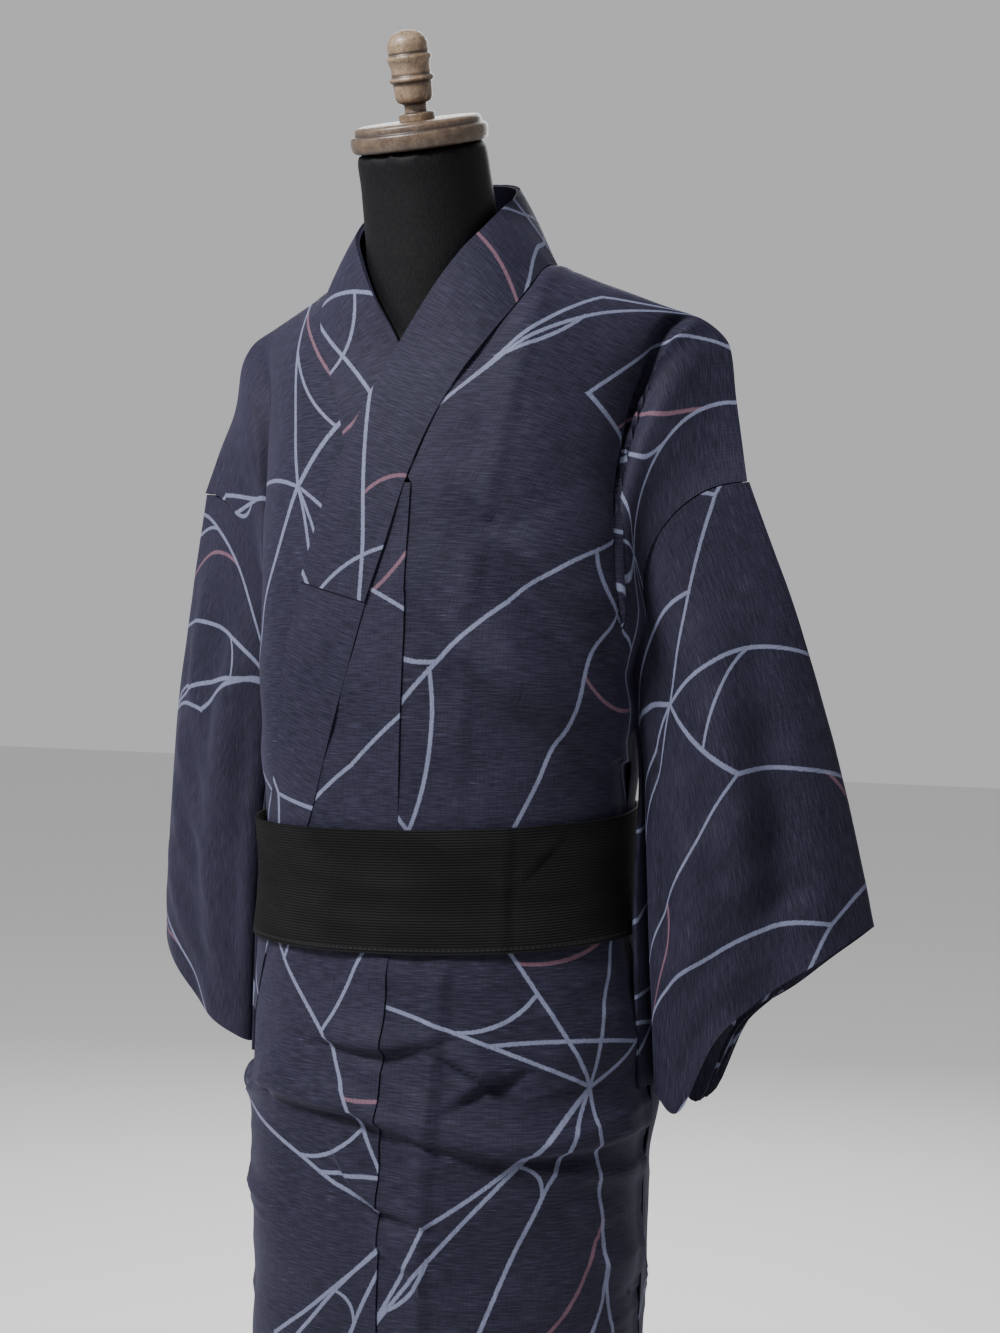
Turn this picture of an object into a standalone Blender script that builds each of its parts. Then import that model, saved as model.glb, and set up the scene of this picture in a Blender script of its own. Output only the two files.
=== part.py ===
"""Cotton yukata robe, tied with its obi, on a limbless dress form with a stand.

Metres, +Z up. +X is the wearer's left and -Y the front. The origin is on the floor, at the
centre of the stand's base.
"""

import math

import bmesh
import bpy
import numpy as np
from mathutils import Matrix, Vector

# Thickness of the cloth, and the space between pieces
BODY_WALL = 0.0012
COLLAR_WALL = 0.0024
OVER_COLLAR_WALL = 0.0010
OBI_WALL = 0.0025
SEAM_GAP = 0.0003

# The collar's face stands proud of the panels, and the left front laps over the right one
COLLAR_PROUD = 0.0010
LAP = 0.0055
LAP_FADE_START = 0.225
LAP_FADE_END = 0.330
OVER_COLLAR_GAP = 0.0005

# Levels of the robe
UNDERARM_Z = 1.133
OKUMI_TOP_Z = 1.302
COLLAR_END_Z = 0.885
OVER_COLLAR_END_Z = 1.21

# The robe's rings from hem to underarm, as if it were one smooth tube
# height, half width, front depth, back depth, shift of the centre to the wearer's left
BODY_RINGS = (
    (0.10, 0.1660, 0.1320, 0.1320, 0.004),
    (0.40, 0.1630, 0.1290, 0.1290, 0.006),
    (0.62, 0.1580, 0.1250, 0.1260, 0.009),
    (0.80, 0.1620, 0.1260, 0.1270, 0.008),
    (0.93, 0.1550, 0.1190, 0.1230, 0.005),
    (0.995, 0.1500, 0.1147, 0.1205, 0.004),
    (1.06, 0.1530, 0.1180, 0.1220, 0.002),
    (1.133, 0.1570, 0.1210, 0.1230, 0.000),
)
BOXINESS = 0.025

# The shoulder ridge of one half, out from the centre line to the sleeve seam
# length along it, x, y, z
RIDGE = (
    (0.000, 0.000, -0.002, 1.479),
    (0.090, 0.090, 0.000, 1.476),
    (0.136, 0.133, 0.010, 1.461),
    (0.186, 0.178, 0.020, 1.443),
    (0.218, 0.206, 0.030, 1.432),
    (0.245, 0.224, 0.039, 1.412),
    (0.290, 0.231, 0.036, 1.370),
    (0.357, 0.246, 0.021, 1.306),
)
SHOULDER_ARC = RIDGE[-1][0]

# The back neckline, from the nape to the top of the shoulder: same columns as the ridge
NAPE = (
    (0.000, 0.000, 0.078, 1.507),
    (0.030, 0.030, 0.070, 1.505),
    (0.055, 0.055, 0.049, 1.498),
    (0.077, 0.076, 0.026, 1.487),
    (0.087, 0.086, 0.010, 1.480),
    (0.092, 0.092, 0.000, 1.475),
)
NECK_ARC = NAPE[-1][0]

# Where the cloth under a point of the ridge meets the underarm ring
# length along the ridge, angle from the centre front, angle from the centre back
UNDERARM_ANGLES = (
    (0.000, 0.000, 0.000),
    (0.050, 0.320, 0.320),
    (0.090, 0.600, 0.600),
    (0.120, 0.800, 0.780),
    (0.170, 1.060, 1.000),
    (0.220, 1.270, 1.170),
    (0.280, 1.470, 1.330),
    (0.357, 1.650, math.pi - 1.650),
)
ARCH_POWER = 0.8

# The crease beside the chest, and the slack cap of cloth past the shoulder
CREASE_ARC = 0.214
CREASE_WIDTH = 0.018
CREASE_DEPTH = 0.020
CAP_START = 0.19
CAP_END = 0.31
CAP_FRONT = 0.017
CAP_BACK = 0.034

# Seams of the left front: height, x
OKUMI_SEAM = (
    (0.10, 0.0120),
    (0.666, 0.0155),
    (0.945, 0.0190),
    (1.042, 0.0240),
    (1.139, 0.0280),
    (1.310, 0.0297),
)
COLLAR_SEAM = (
    (0.885, -0.1230),
    (0.930, -0.1090),
    (0.990, -0.0810),
    (1.049, -0.0530),
    (1.098, -0.0370),
    (1.169, -0.0144),
    (1.214, -0.0016),
    (1.244, 0.0090),
    (1.289, 0.0205),
    (1.319, 0.0305),
    (1.361, 0.0455),
    (1.400, 0.0660),
    (1.437, 0.0855),
    (1.460, 0.0935),
    (1.480, 0.0925),
)
COLLAR_FREE_EDGE = (
    (0.885, -0.1500),
    (0.930, -0.1420),
    (0.990, -0.1220),
    (1.055, -0.1010),
    (1.085, -0.0935),
    (1.134, -0.0860),
    (1.182, -0.0780),
    (1.224, -0.0650),
    (1.307, -0.0380),
    (1.334, -0.0290),
    (1.361, -0.0180),
    (1.388, -0.0050),
    (1.404, 0.0000),
)
FRONT_EDGE = (
    (0.10, -0.1350),
    (0.62, -0.1350),
    (0.80, -0.1310),
    (0.885, -0.1232),
)

# The collar's free edge round the neck, from the nape to the crossing: share of the way, x, y, z
COLLAR_NECK_EDGE = (
    (0.00, 0.0000, 0.0480, 1.556),
    (0.12, 0.0210, 0.0440, 1.554),
    (0.25, 0.0400, 0.0310, 1.549),
    (0.38, 0.0545, 0.0110, 1.540),
    (0.50, 0.0600, -0.0140, 1.527),
    (0.62, 0.0595, -0.0410, 1.510),
    (0.75, 0.0465, -0.0645, 1.485),
    (0.88, 0.0250, -0.0765, 1.447),
    (1.00, 0.0000, -0.0780, 1.406),
)

# The free edge that goes with each row of the collar: degrees of the arch, share of the way
COLLAR_NECK_SHARES = (
    (42.0, 1.000),
    (51.0, 0.880),
    (60.0, 0.760),
    (69.0, 0.670),
    (78.0, 0.590),
    (84.0, 0.545),
    (90.0, 0.500),
)
COLLAR_NECK_BULGE = 0.0015
COLLAR_CROSSING_LAP = 0.0085
COLLAR_WIDTH = 0.058

# The hanging sleeve's two edges, from the armhole to the cuff: share of the way, x, y, z
SLEEVE_OUTER_EDGE = (
    (0.00, 0.2465, 0.0210, 1.3055),
    (0.35, 0.2820, 0.0450, 1.1900),
    (0.70, 0.3120, 0.0700, 1.0610),
    (1.00, 0.3290, 0.0860, 0.9650),
)
SLEEVE_INNER_EDGE = (
    (0.00, 0.1580, 0.0097, 1.1330),
    (0.30, 0.1740, 0.0080, 1.0600),
    (0.60, 0.1810, 0.0060, 0.9600),
    (1.00, 0.1860, 0.0080, 0.8520),
)
SLEEVE_FRONT_BULGE = 0.026
SLEEVE_BACK_BULGE = 0.032
# How far each sleeve's cuff sags, and where between its inner and outer edge: depth, place, width
LEFT_SAG = (0.042, 0.14, 0.09)
RIGHT_SAG = (0.032, 0.55, 0.35)
SLEEVE_FOLD_DEPTH = 0.005
SLEEVE_FOLDS = 3
SLEEVE_ROWS = 12

# The obi: its top edge at the centre front, its slopes to the back and to the left, its height
OBI_TOP_Z = 1.040
OBI_FRONT_Y = -0.124
OBI_RISE_BACK = 0.060
OBI_RISE_LEFT = 0.030
OBI_HEIGHT = 0.094
OBI_FRONT_OUT = 0.0078
OBI_BACK_OUT = 0.0016
OBI_COLUMNS = 56
OBI_ROWS = 3

# The plain knot at the back: name, first and last angle from the centre back, top and bottom
# edge at the first angle, the same at the last, in metres above the band's middle, and how far
# it stands off the band
KNOT_PIECES = (
    ("obi_tail_left", 0.05, 0.52, 0.030, -0.046, 0.052, -0.030, 0.0007),
    ("obi_tail_right", -0.06, -0.66, 0.040, -0.030, -0.012, -0.086, 0.0007),
    ("obi_knot", -0.26, 0.24, 0.062, -0.024, 0.030, -0.058, 0.0044),
)
KNOT_WALL = 0.0030
KNOT_COLUMNS = 8
KNOT_ROWS = 3

# Rows of the panels: heights below the underarm, and angles of the arch over the shoulder
LOWER_ROWS = (
    0.10, 0.16, 0.23, 0.30, 0.37, 0.44, 0.51, 0.58, 0.64, 0.70, 0.755, 0.80, 0.845,
    0.885, 0.93, 0.97, 1.01, 1.05, 1.09, 1.133,
)
ARCH_DEGREES = (8.0, 16.0, 24.15, 33.0, 42.0, 51.0, 60.0, 69.0, 78.0, 84.0, 90.0)
FRONT_COLUMNS = 7
NAPE_COLUMNS = 4
OKUMI_COLUMNS = 4
COLLAR_COLUMNS = 3

# The dress form inside the robe
FORM_BOTTOM_Z = 0.74
FORM_SHOULDER_CLEARANCE = 0.0026
FORM_NECK_CLEARANCE = 0.0045
FORM_BODY_CLEARANCE = 0.0080
FORM_ROWS = (0.74, 0.80, 0.86, 0.92, 0.97, 1.02, 1.07, 1.133)
FORM_ARCS = (0.0, 0.031, 0.062, 0.09215, 0.12993, 0.16771)
FORM_SIDE_POINTS = 3
FORM_SIDE_BULGE = 0.006
# height, radius, y of the centre, forward tilt in degrees
FORM_NECK = (
    (1.400, 0.0560, -0.010, 0.0),
    (1.450, 0.0555, -0.019, 3.0),
    (1.480, 0.0542, -0.026, 8.0),
    (1.510, 0.0530, -0.033, 12.0),
    (1.545, 0.0515, -0.043, 16.0),
    (1.567, 0.0515, -0.0515, 17.5),
)
NECK_SIDES = 32
CAP_TILT = 17.5
# Turned profiles, bottom to top: height above the seat, radius
CAP_PROFILE = (
    (0.0000, 0.0500),
    (0.0020, 0.0528),
    (0.0075, 0.0540),
    (0.0130, 0.0532),
    (0.0145, 0.0500),
    (0.0185, 0.0490),
    (0.0200, 0.0460),
)
FINIAL_PROFILE = (
    (0.0000, 0.0142),
    (0.0050, 0.0142),
    (0.0075, 0.0092),
    (0.0135, 0.0090),
    (0.0162, 0.0127),
    (0.0200, 0.0143),
    (0.0310, 0.0158),
    (0.0332, 0.0171),
    (0.0356, 0.0176),
    (0.0380, 0.0167),
    (0.0408, 0.0153),
    (0.0442, 0.0166),
    (0.0485, 0.0175),
    (0.0522, 0.0176),
    (0.0556, 0.0160),
    (0.0578, 0.0165),
    (0.0625, 0.0160),
    (0.0670, 0.0146),
    (0.0710, 0.0117),
    (0.0742, 0.0074),
    (0.0758, 0.0025),
)
CAP_SIDES = 32
FINIAL_SIDES = 24

# The stand
POST_RADIUS = 0.0175
POST_SIDES = 24
BASE_RADIUS = 0.185
BASE_HEIGHT = 0.018
BASE_CHAMFER = 0.004
BASE_SIDES = 48

# Colours, linear
COTTON = (0.035, 0.036, 0.062)
OBI_BLACK = (0.009, 0.009, 0.010)
JERSEY_BLACK = (0.011, 0.011, 0.011)
CAP_BROWN = (0.13, 0.09, 0.065)
FINIAL_BROWN = (0.17, 0.12, 0.085)
STAND_BLACK = (0.03, 0.03, 0.03)


# Curves and small helpers
def smooth(table, at):
    """Values at one place of the smooth curve through a table, which never overshoots a row."""
    places = [row[0] for row in table]
    values = np.array([row[1:] for row in table], dtype=float)
    at = min(max(at, places[0]), places[-1])
    last = len(places) - 2
    i = min(max(int(np.searchsorted(places, at)) - 1, 0), last)
    steps = np.diff(places)
    slopes = np.diff(values, axis=0) / steps[:, None]

    def tangent(k):
        if k == 0:
            return slopes[0]
        if k == len(places) - 1:
            return slopes[-1]
        before, after = slopes[k - 1], slopes[k]
        same_way = before * after > 0
        total = np.where(same_way, before + after, 1.0)
        return np.where(same_way, 2 * before * after / total, 0.0)

    t = (at - places[i]) / steps[i]
    rise = (3 - 2 * t) * t * t
    bend_in = t * (1 - t) ** 2 * steps[i]
    bend_out = -t * t * (1 - t) * steps[i]
    return (1 - rise) * values[i] + rise * values[i + 1] + bend_in * tangent(i) + bend_out * tangent(i + 1)


def ease(value, start, end):
    """0 before start, 1 after end, and a soft step between them."""
    t = min(max((value - start) / (end - start), 0.0), 1.0)
    return t * t * (3 - 2 * t)


def bump(value, centre, width):
    """A soft hump of height 1."""
    return math.exp(-0.5 * ((value - centre) / width) ** 2)


# The robe as one smooth skin. "across" is the length from the centre line along the shoulder,
# plus to the wearer's left. "along" runs from the front hem to the back hem: metres below the
# underarm, then 0 to 1 up the front arch, 1 to 2 down the back arch, then metres again.
def ring_point(z, angle):
    """Point of the robe's tube at a height, by the angle from the centre front."""
    half_width, front, back, shift = smooth(BODY_RINGS, z)
    fuller = 1 + BOXINESS * math.sin(2 * angle) ** 2
    depth = front if math.cos(angle) > 0 else back
    x = half_width * math.sin(angle) * fuller + shift
    return np.array([x, -depth * math.cos(angle) * fuller, z])


def skin(across, along, has_neckline=True):
    """Point of the robe's skin."""
    side = 1 if across >= 0 else -1
    arc = abs(across)
    front_angle, back_angle = smooth(UNDERARM_ANGLES, arc)
    if along <= 0:
        return ring_point(UNDERARM_Z + along, side * front_angle)
    if along >= 2:
        return ring_point(UNDERARM_Z - (along - 2), math.pi - side * back_angle)
    at_front = along < 1
    turn = (along if at_front else 2 - along) * math.pi / 2
    base = ring_point(UNDERARM_Z, side * front_angle if at_front else math.pi - side * back_angle)
    at_nape = has_neckline and not at_front and arc < NECK_ARC
    x, y, z = smooth(NAPE if at_nape else RIDGE, arc)
    top = np.array([side * x, y, z])
    point = top + (base - top) * math.cos(turn)
    point[2] = UNDERARM_Z + (z - UNDERARM_Z) * math.sin(turn) ** ARCH_POWER
    height = math.sin(math.pi * min(along, 2 - along)) if 0 < along < 2 else 0.0
    cap = ease(arc, CAP_START, CAP_END) * height
    crease = CREASE_DEPTH * bump(arc, CREASE_ARC, CREASE_WIDTH) * height
    point[1] += crease - CAP_FRONT * cap if at_front else CAP_BACK * cap - 0.5 * crease
    return point


def skin_out(across, along, out, has_neckline=True):
    """Point that lies a distance outside the robe's skin."""
    step = 0.002
    low, high = along - step, along + step
    if has_neckline and abs(across) < NECK_ARC and 1 <= along < 1 + step:
        low = along
        high = along + 2 * step
    if abs(across) < NECK_ARC and 1 - step < along <= 1:
        low, high = along - 2 * step, along - 0.0001
    sideways = skin(across + step, along, has_neckline) - skin(across - step, along, has_neckline)
    lengthways = skin(across, high, has_neckline) - skin(across, low, has_neckline)
    normal = np.cross(sideways, lengthways)
    return skin(across, along, has_neckline) + normal / np.linalg.norm(normal) * out


def along_at(across, z):
    """The front's "along" at a height."""
    if z <= UNDERARM_Z:
        return z - UNDERARM_Z
    share = (z - UNDERARM_Z) / (smooth(RIDGE, abs(across))[2] - UNDERARM_Z)
    return math.asin(min(share, 1.0) ** (1 / ARCH_POWER)) / (math.pi / 2)


def across_at(x, z):
    """The front's "across" where the skin has this x at this height."""
    low, high = -SHOULDER_ARC, SHOULDER_ARC
    for _ in range(26):
        middle = (low + high) / 2
        if skin(middle, along_at(middle, z))[0] < x:
            low = middle
        else:
            high = middle
    return (low + high) / 2


def lap_out(across, along):
    """How far the left front stands off the skin, to clear the right front under it."""
    over_chest = 1 - ease(along, 0.60, 0.92)
    return LAP * (1 - ease(across, LAP_FADE_START, LAP_FADE_END)) * over_chest


def front_point(x, z, side, out):
    """Point on one front. x is as on the left front, and the right one is its mirror image."""
    across = side * across_at(x, z)
    along = along_at(across, z)
    lap = lap_out(across, along) if side > 0 else 0.0
    return skin_out(across, along, out + lap)


def ring_out(z, angle, out):
    """Point that lies a distance outside the robe's tube."""
    step = 0.002
    sideways = ring_point(z, angle + step) - ring_point(z, angle - step)
    upwards = ring_point(z + step, angle) - ring_point(z - step, angle)
    normal = np.cross(sideways, upwards)
    return ring_point(z, angle) + normal / np.linalg.norm(normal) * out


# Meshes
def material(name, colour, roughness, metallic=0.0):
    """A Principled BSDF material; the colour is linear."""
    made = bpy.data.materials.new(name)
    made.use_nodes = True
    shader = made.node_tree.nodes["Principled BSDF"]
    shader.inputs["Base Color"].default_value = (*colour, 1.0)
    shader.inputs["Roughness"].default_value = roughness
    shader.inputs["Metallic"].default_value = metallic
    return made


def add_object(name, points, faces, finish):
    """One closed body from its points and faces, with its faces pointing out."""
    mesh = bpy.data.meshes.new(name)
    mesh.from_pydata([tuple(point) for point in points], [], faces)
    shape = bmesh.new()
    shape.from_mesh(mesh)
    bmesh.ops.remove_doubles(shape, verts=shape.verts, dist=0.00001)
    bmesh.ops.recalc_face_normals(shape, faces=shape.faces)
    shape.to_mesh(mesh)
    shape.free()
    mesh.shade_smooth()
    mesh.set_sharp_from_angle(angle=math.radians(40))
    mesh.materials.append(finish)
    made = bpy.data.objects.new(name, mesh)
    bpy.context.collection.objects.link(made)
    return made


def wall(name, outer, inner, quads, finish):
    """A cloth wall from matching points of its outer and inner faces, closed round its rims."""
    count = len(outer)
    faces = []
    rim = {}
    for a, b, c, d in quads:
        for corners in ((a, b, c), (a, c, d)):
            faces.append(corners)
            faces.append(tuple(count + k for k in reversed(corners)))
        for edge in ((a, b), (b, c), (c, d), (d, a)):
            key = tuple(sorted(edge))
            rim[key] = None if key in rim else edge
    for edge in rim.values():
        if edge is not None:
            start, end = edge
            faces.append((end, start, count + start))
            faces.append((end, count + start, count + end))
    return add_object(name, list(outer) + list(inner), faces, finish)


def grid_quads(rows, columns, first=0, closed=False):
    """Faces of a grid of points, row by row. A closed one joins its last column to its first."""
    quads = []
    spans = columns if closed else columns - 1
    for row in range(rows - 1):
        for column in range(spans):
            a = first + row * columns + column
            b = first + row * columns + (column + 1) % columns
            quads.append((a, b, b + columns, a + columns))
    return quads


def grid_normals(grid, closed=False):
    """Unit normals of a grid of points, given as an array of rows, columns and x, y, z."""
    if closed:
        sideways = np.roll(grid, -1, axis=1) - np.roll(grid, 1, axis=1)
    else:
        sideways = np.gradient(grid, axis=1)
    lengthways = np.gradient(grid, axis=0)
    normals = np.cross(sideways, lengthways)
    return normals / np.linalg.norm(normals, axis=2, keepdims=True)


def solid_of_rings(name, rings, finish):
    """A closed solid through rings that have the same number of points."""
    sides = len(rings[0])
    points = [point for ring in rings for point in ring]
    faces = grid_quads(len(rings), sides, closed=True)
    faces.append(tuple(range(sides))[::-1])
    faces.append(tuple(range(len(points) - sides, len(points))))
    return add_object(name, points, faces, finish)


def turned(name, profile, sides, finish, seat):
    """A turned solid from its profile. The seat places and tilts it."""
    rings = []
    for height, radius in profile:
        turns = [2 * math.pi * k / sides for k in range(sides)]
        rings.append([(radius * math.cos(a), radius * math.sin(a), height) for a in turns])
    made = solid_of_rings(name, rings, finish)
    made.matrix_world = seat
    return made


# The robe's panels
def front_rows():
    """The front's rows from hem to shoulder, as "along"."""
    return [z - UNDERARM_Z for z in LOWER_ROWS] + [degrees / 90 for degrees in ARCH_DEGREES]


def row_height(along):
    """Height of a front row near the centre line."""
    if along <= 0:
        return UNDERARM_Z + along
    rise = RIDGE[0][3] - UNDERARM_Z
    return UNDERARM_Z + rise * math.sin(along * math.pi / 2) ** ARCH_POWER


def body_inner_edge(along):
    """ "across" of the front panel's inner edge: the okumi seam, and above it the collar seam."""
    if along >= 1:
        return NECK_ARC
    z = row_height(along)
    seam = OKUMI_SEAM if z < OKUMI_TOP_Z else COLLAR_SEAM
    return min(across_at(smooth(seam, z)[0], z), NECK_ARC)


def nape_arcs():
    """ "across" of the back neckline's columns, from the centre back outwards."""
    return [NECK_ARC * math.sin(math.pi / 2 * k / NAPE_COLUMNS) for k in range(NAPE_COLUMNS)]


def make_body(name, side, finish):
    """One body panel: the front, over the shoulder, and the back, in one length of cloth."""
    rows = front_rows()
    outer, inner = [], []

    def add(across, along):
        lap = lap_out(across, along) if side > 0 and along <= 1 else 0.0
        outer.append(skin_out(side * across, along, lap))
        inner.append(skin_out(side * across, along, lap - BODY_WALL))

    def spread(start, along):
        below_arm = along <= 0 or along >= 2
        end = SHOULDER_ARC - SEAM_GAP * (2 if below_arm else 1)
        share = (end - start) / FRONT_COLUMNS
        return [start + share * column for column in range(FRONT_COLUMNS + 1)]

    for along in rows:
        for across in spread(body_inner_edge(along) + SEAM_GAP / 2, along):
            add(across, along)
    quads = grid_quads(len(rows), FRONT_COLUMNS + 1)
    shoulder = len(outer) - (FRONT_COLUMNS + 1)
    nape = nape_arcs()
    nape[0] = SEAM_GAP / 2
    first = len(outer)
    for across in nape:
        add(across, 1.0001)
    back_rows = [2 - along for along in reversed(rows[:-1])]
    for along in back_rows:
        columns = nape + spread(NECK_ARC + SEAM_GAP / 2, along)
        for across in columns:
            add(across, along)
    top = list(range(first, first + NAPE_COLUMNS))
    top += list(range(shoulder, shoulder + FRONT_COLUMNS + 1))
    below = first + NAPE_COLUMNS
    for k in range(len(columns) - 1):
        quads.append((top[k], top[k + 1], below + k + 1, below + k))
    quads += grid_quads(len(back_rows), len(columns), first=below)
    return wall(name, outer, inner, quads, finish)


def make_okumi(name, side, finish):
    """One overlap panel, from the okumi seam to the collar seam and, lower down, the free edge."""
    rows = [row_height(along) for along in front_rows()]
    rows = [z for z in rows if z < OKUMI_TOP_Z]
    outer, inner = [], []
    for z in rows:
        free = COLLAR_SEAM if z >= COLLAR_END_Z else FRONT_EDGE
        start = smooth(OKUMI_SEAM, z)[0] - SEAM_GAP / 2
        end = smooth(free, z)[0] + SEAM_GAP / 2
        for column in range(OKUMI_COLUMNS + 1):
            x = start + (end - start) * column / OKUMI_COLUMNS
            outer.append(front_point(x, z, side, 0.0))
            inner.append(front_point(x, z, side, -BODY_WALL))
    return wall(name, outer, inner, grid_quads(len(rows), OKUMI_COLUMNS + 1), finish)


def collar_front_row(side, along):
    """One row across the collar on the chest, from its seam to its free edge."""
    z = row_height(along)
    slope = (smooth(COLLAR_SEAM, z + 0.01)[0] - smooth(COLLAR_SEAM, z - 0.01)[0]) / 0.02
    free_z = z + COLLAR_WIDTH * slope / math.hypot(1, slope)
    if z < OKUMI_TOP_Z:
        seam_x = smooth(COLLAR_SEAM, z)[0] - SEAM_GAP / 2
        seam = front_point(seam_x, z, side, COLLAR_PROUD)
    else:
        across = side * (body_inner_edge(along) - SEAM_GAP / 2)
        lap = lap_out(across, along) if side > 0 else 0.0
        seam = skin_out(across, along, COLLAR_PROUD + lap)
    if along * 90 < COLLAR_NECK_SHARES[0][0] - 0.1:
        free_x = smooth(COLLAR_FREE_EDGE, free_z)[0]
        row = [seam]
        for column in range(1, COLLAR_COLUMNS + 1):
            share = column / COLLAR_COLUMNS
            x = seam_x + (free_x - seam_x) * share if z < OKUMI_TOP_Z else None
            if x is None:
                start_x = smooth(COLLAR_SEAM, z)[0] - SEAM_GAP / 2
                x = start_x + (free_x - start_x) * share
            row.append(front_point(x, z + (free_z - z) * share, side, COLLAR_PROUD))
        return row
    share = smooth(COLLAR_NECK_SHARES, along * 90)[0]
    return collar_neck_row(side, seam, share)


def collar_neck_row(side, seam, share):
    """One row across the standing collar, by its seam point and its share of the free edge."""
    x, y, z = smooth(COLLAR_NECK_EDGE, share)
    lap = COLLAR_CROSSING_LAP * ease(share, 0.72, 1.0) if side > 0 else 0.0
    free = np.array([side * x, y - lap, z])
    to_free = free - seam
    away = np.cross(to_free, np.cross(np.array([seam[0], seam[1] + 0.02, 0.0]), to_free))
    away = away / max(np.linalg.norm(away), 1e-9)
    row = []
    for column in range(COLLAR_COLUMNS + 1):
        part = column / COLLAR_COLUMNS
        lift = COLLAR_NECK_BULGE * 4 * part * (1 - part)
        row.append(seam + to_free * part + away * lift)
    return row


def collar_half(side):
    """The collar's rows from its lower end to the one before the nape."""
    rows = []
    for along in front_rows():
        if row_height(along) >= COLLAR_END_Z and along < 1:
            rows.append(collar_front_row(side, along))
    arcs = [NECK_ARC] + nape_arcs()[::-1]
    shares = np.linspace(COLLAR_NECK_SHARES[-1][1], 0.0, len(arcs))
    for arc, share in zip(arcs[:-1], shares[:-1]):
        seam = skin_out(side * (arc - SEAM_GAP / 2), 1.0001, COLLAR_PROUD)
        rows.append(collar_neck_row(side, seam, share))
    return rows


def collar_grid():
    """The collar's face as an array: right lower end, round the nape, left lower end."""
    nape_seam = skin_out(0.0, 1.0001, COLLAR_PROUD)
    nape = collar_neck_row(1, nape_seam, 0.0)
    grid = np.array(collar_half(-1) + [nape] + collar_half(1)[::-1])
    return grid


def make_collar(finish, over_finish):
    """The long collar strip, and the over-collar that lies on its middle."""
    grid = collar_grid()
    normals = grid_normals(grid)
    rows, columns = grid.shape[:2]
    outer = grid.reshape(-1, 3)
    inner = (grid - normals * COLLAR_WALL).reshape(-1, 3)
    wall("collar", outer, inner, grid_quads(rows, columns), finish)
    ends = [row for row in range(rows) if grid[row, 0, 2] >= OVER_COLLAR_END_Z - 0.01]
    grid = grid[ends[0] : ends[-1] + 1]
    normals = normals[ends[0] : ends[-1] + 1]
    outer = (grid + normals * (OVER_COLLAR_GAP + OVER_COLLAR_WALL)).reshape(-1, 3)
    inner = (grid + normals * OVER_COLLAR_GAP).reshape(-1, 3)
    wall("over_collar", outer, inner, grid_quads(len(grid), columns), over_finish)


# The sleeves
def armhole_point(along):
    """Point of the left sleeve's first ring, just clear of the body panel's edge."""
    edge = skin(SHOULDER_ARC, along)
    sideways = edge - skin(SHOULDER_ARC - 0.004, along)
    at_top = math.sin(math.pi * along / 2)
    clear = sideways / np.linalg.norm(sideways) * SEAM_GAP
    return edge + clear * at_top + np.array([0.0014, 0.0, 0.0004]) * (1 - at_top)


def sleeve_point(share, along, sag):
    """Point of a left sleeve: its share of the way to the cuff, and "along" round it."""
    start = armhole_point(along)
    outer_edge = smooth(SLEEVE_OUTER_EDGE, share)
    inner_edge = smooth(SLEEVE_INNER_EDGE, share)
    reach = (1 - math.cos(math.pi * along)) / 2
    round_it = math.sin(math.pi * min(along, 2 - along))
    carried = start + (inner_edge - armhole_point(0)) * (1 - reach)
    carried = carried + (outer_edge - armhole_point(1)) * reach
    hanging = inner_edge + (outer_edge - inner_edge) * reach
    bulge = -SLEEVE_FRONT_BULGE if along < 1 else SLEEVE_BACK_BULGE
    hanging[1] += bulge * max(round_it, 0.0) ** 0.8
    depth, place, width = sag
    hanging[2] -= depth * share**4 * bump(reach, place, width)
    folds = math.sin(2 * math.pi * SLEEVE_FOLDS * reach) * (1 - reach) * round_it
    hanging[1] += SLEEVE_FOLD_DEPTH * ease(share, 0.2, 0.8) * folds
    loose = ease(share, 0.0, 0.6)
    return carried * (1 - loose) + hanging * loose


def make_sleeve(name, side, finish):
    """One sleeve: a slack tube from the armhole to the slanted cuff, open at both."""
    sag = LEFT_SAG if side > 0 else RIGHT_SAG
    arch = [degrees / 90 for degrees in ARCH_DEGREES]
    around = [0.0] + arch + [2 - along for along in reversed(arch[:-1])]
    rows = []
    for row in range(SLEEVE_ROWS + 1):
        share = row / SLEEVE_ROWS
        rows.append([sleeve_point(share, along, sag) for along in around])
    grid = np.array(rows)
    normals = grid_normals(grid, closed=True)
    inwards = grid - normals * BODY_WALL
    if side < 0:
        mirror = np.array([-1.0, 1.0, 1.0])
        grid, inwards = grid * mirror, inwards * mirror
    quads = grid_quads(len(rows), len(around), closed=True)
    return wall(name, grid.reshape(-1, 3), inwards.reshape(-1, 3), quads, finish)


# The obi
def obi_out(angle):
    """How far the obi's inner face stands off the robe's tube."""
    to_back = ease(abs(angle), 1.35, 1.95)
    return OBI_FRONT_OUT + (OBI_BACK_OUT - OBI_FRONT_OUT) * to_back


def obi_edge_z(angle, share):
    """Height on the obi at an angle: share 0 at its bottom edge, 1 at its top edge."""
    x, y, _ = ring_point(OBI_TOP_Z - OBI_HEIGHT / 2, angle)
    tilt = OBI_RISE_BACK * (y - OBI_FRONT_Y) + OBI_RISE_LEFT * x
    return OBI_TOP_Z + tilt - OBI_HEIGHT * (1 - share)


def make_obi(finish):
    """The band of two turns round the waist."""
    outer, inner = [], []
    for row in range(OBI_ROWS + 1):
        for column in range(OBI_COLUMNS):
            angle = math.pi * (2 * column / OBI_COLUMNS - 1)
            z = obi_edge_z(angle, row / OBI_ROWS)
            inner.append(ring_out(z, angle, obi_out(angle)))
            outer.append(ring_out(z, angle, obi_out(angle) + OBI_WALL))
    quads = grid_quads(OBI_ROWS + 1, OBI_COLUMNS, closed=True)
    return wall("obi_band", outer, inner, quads, finish)


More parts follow.
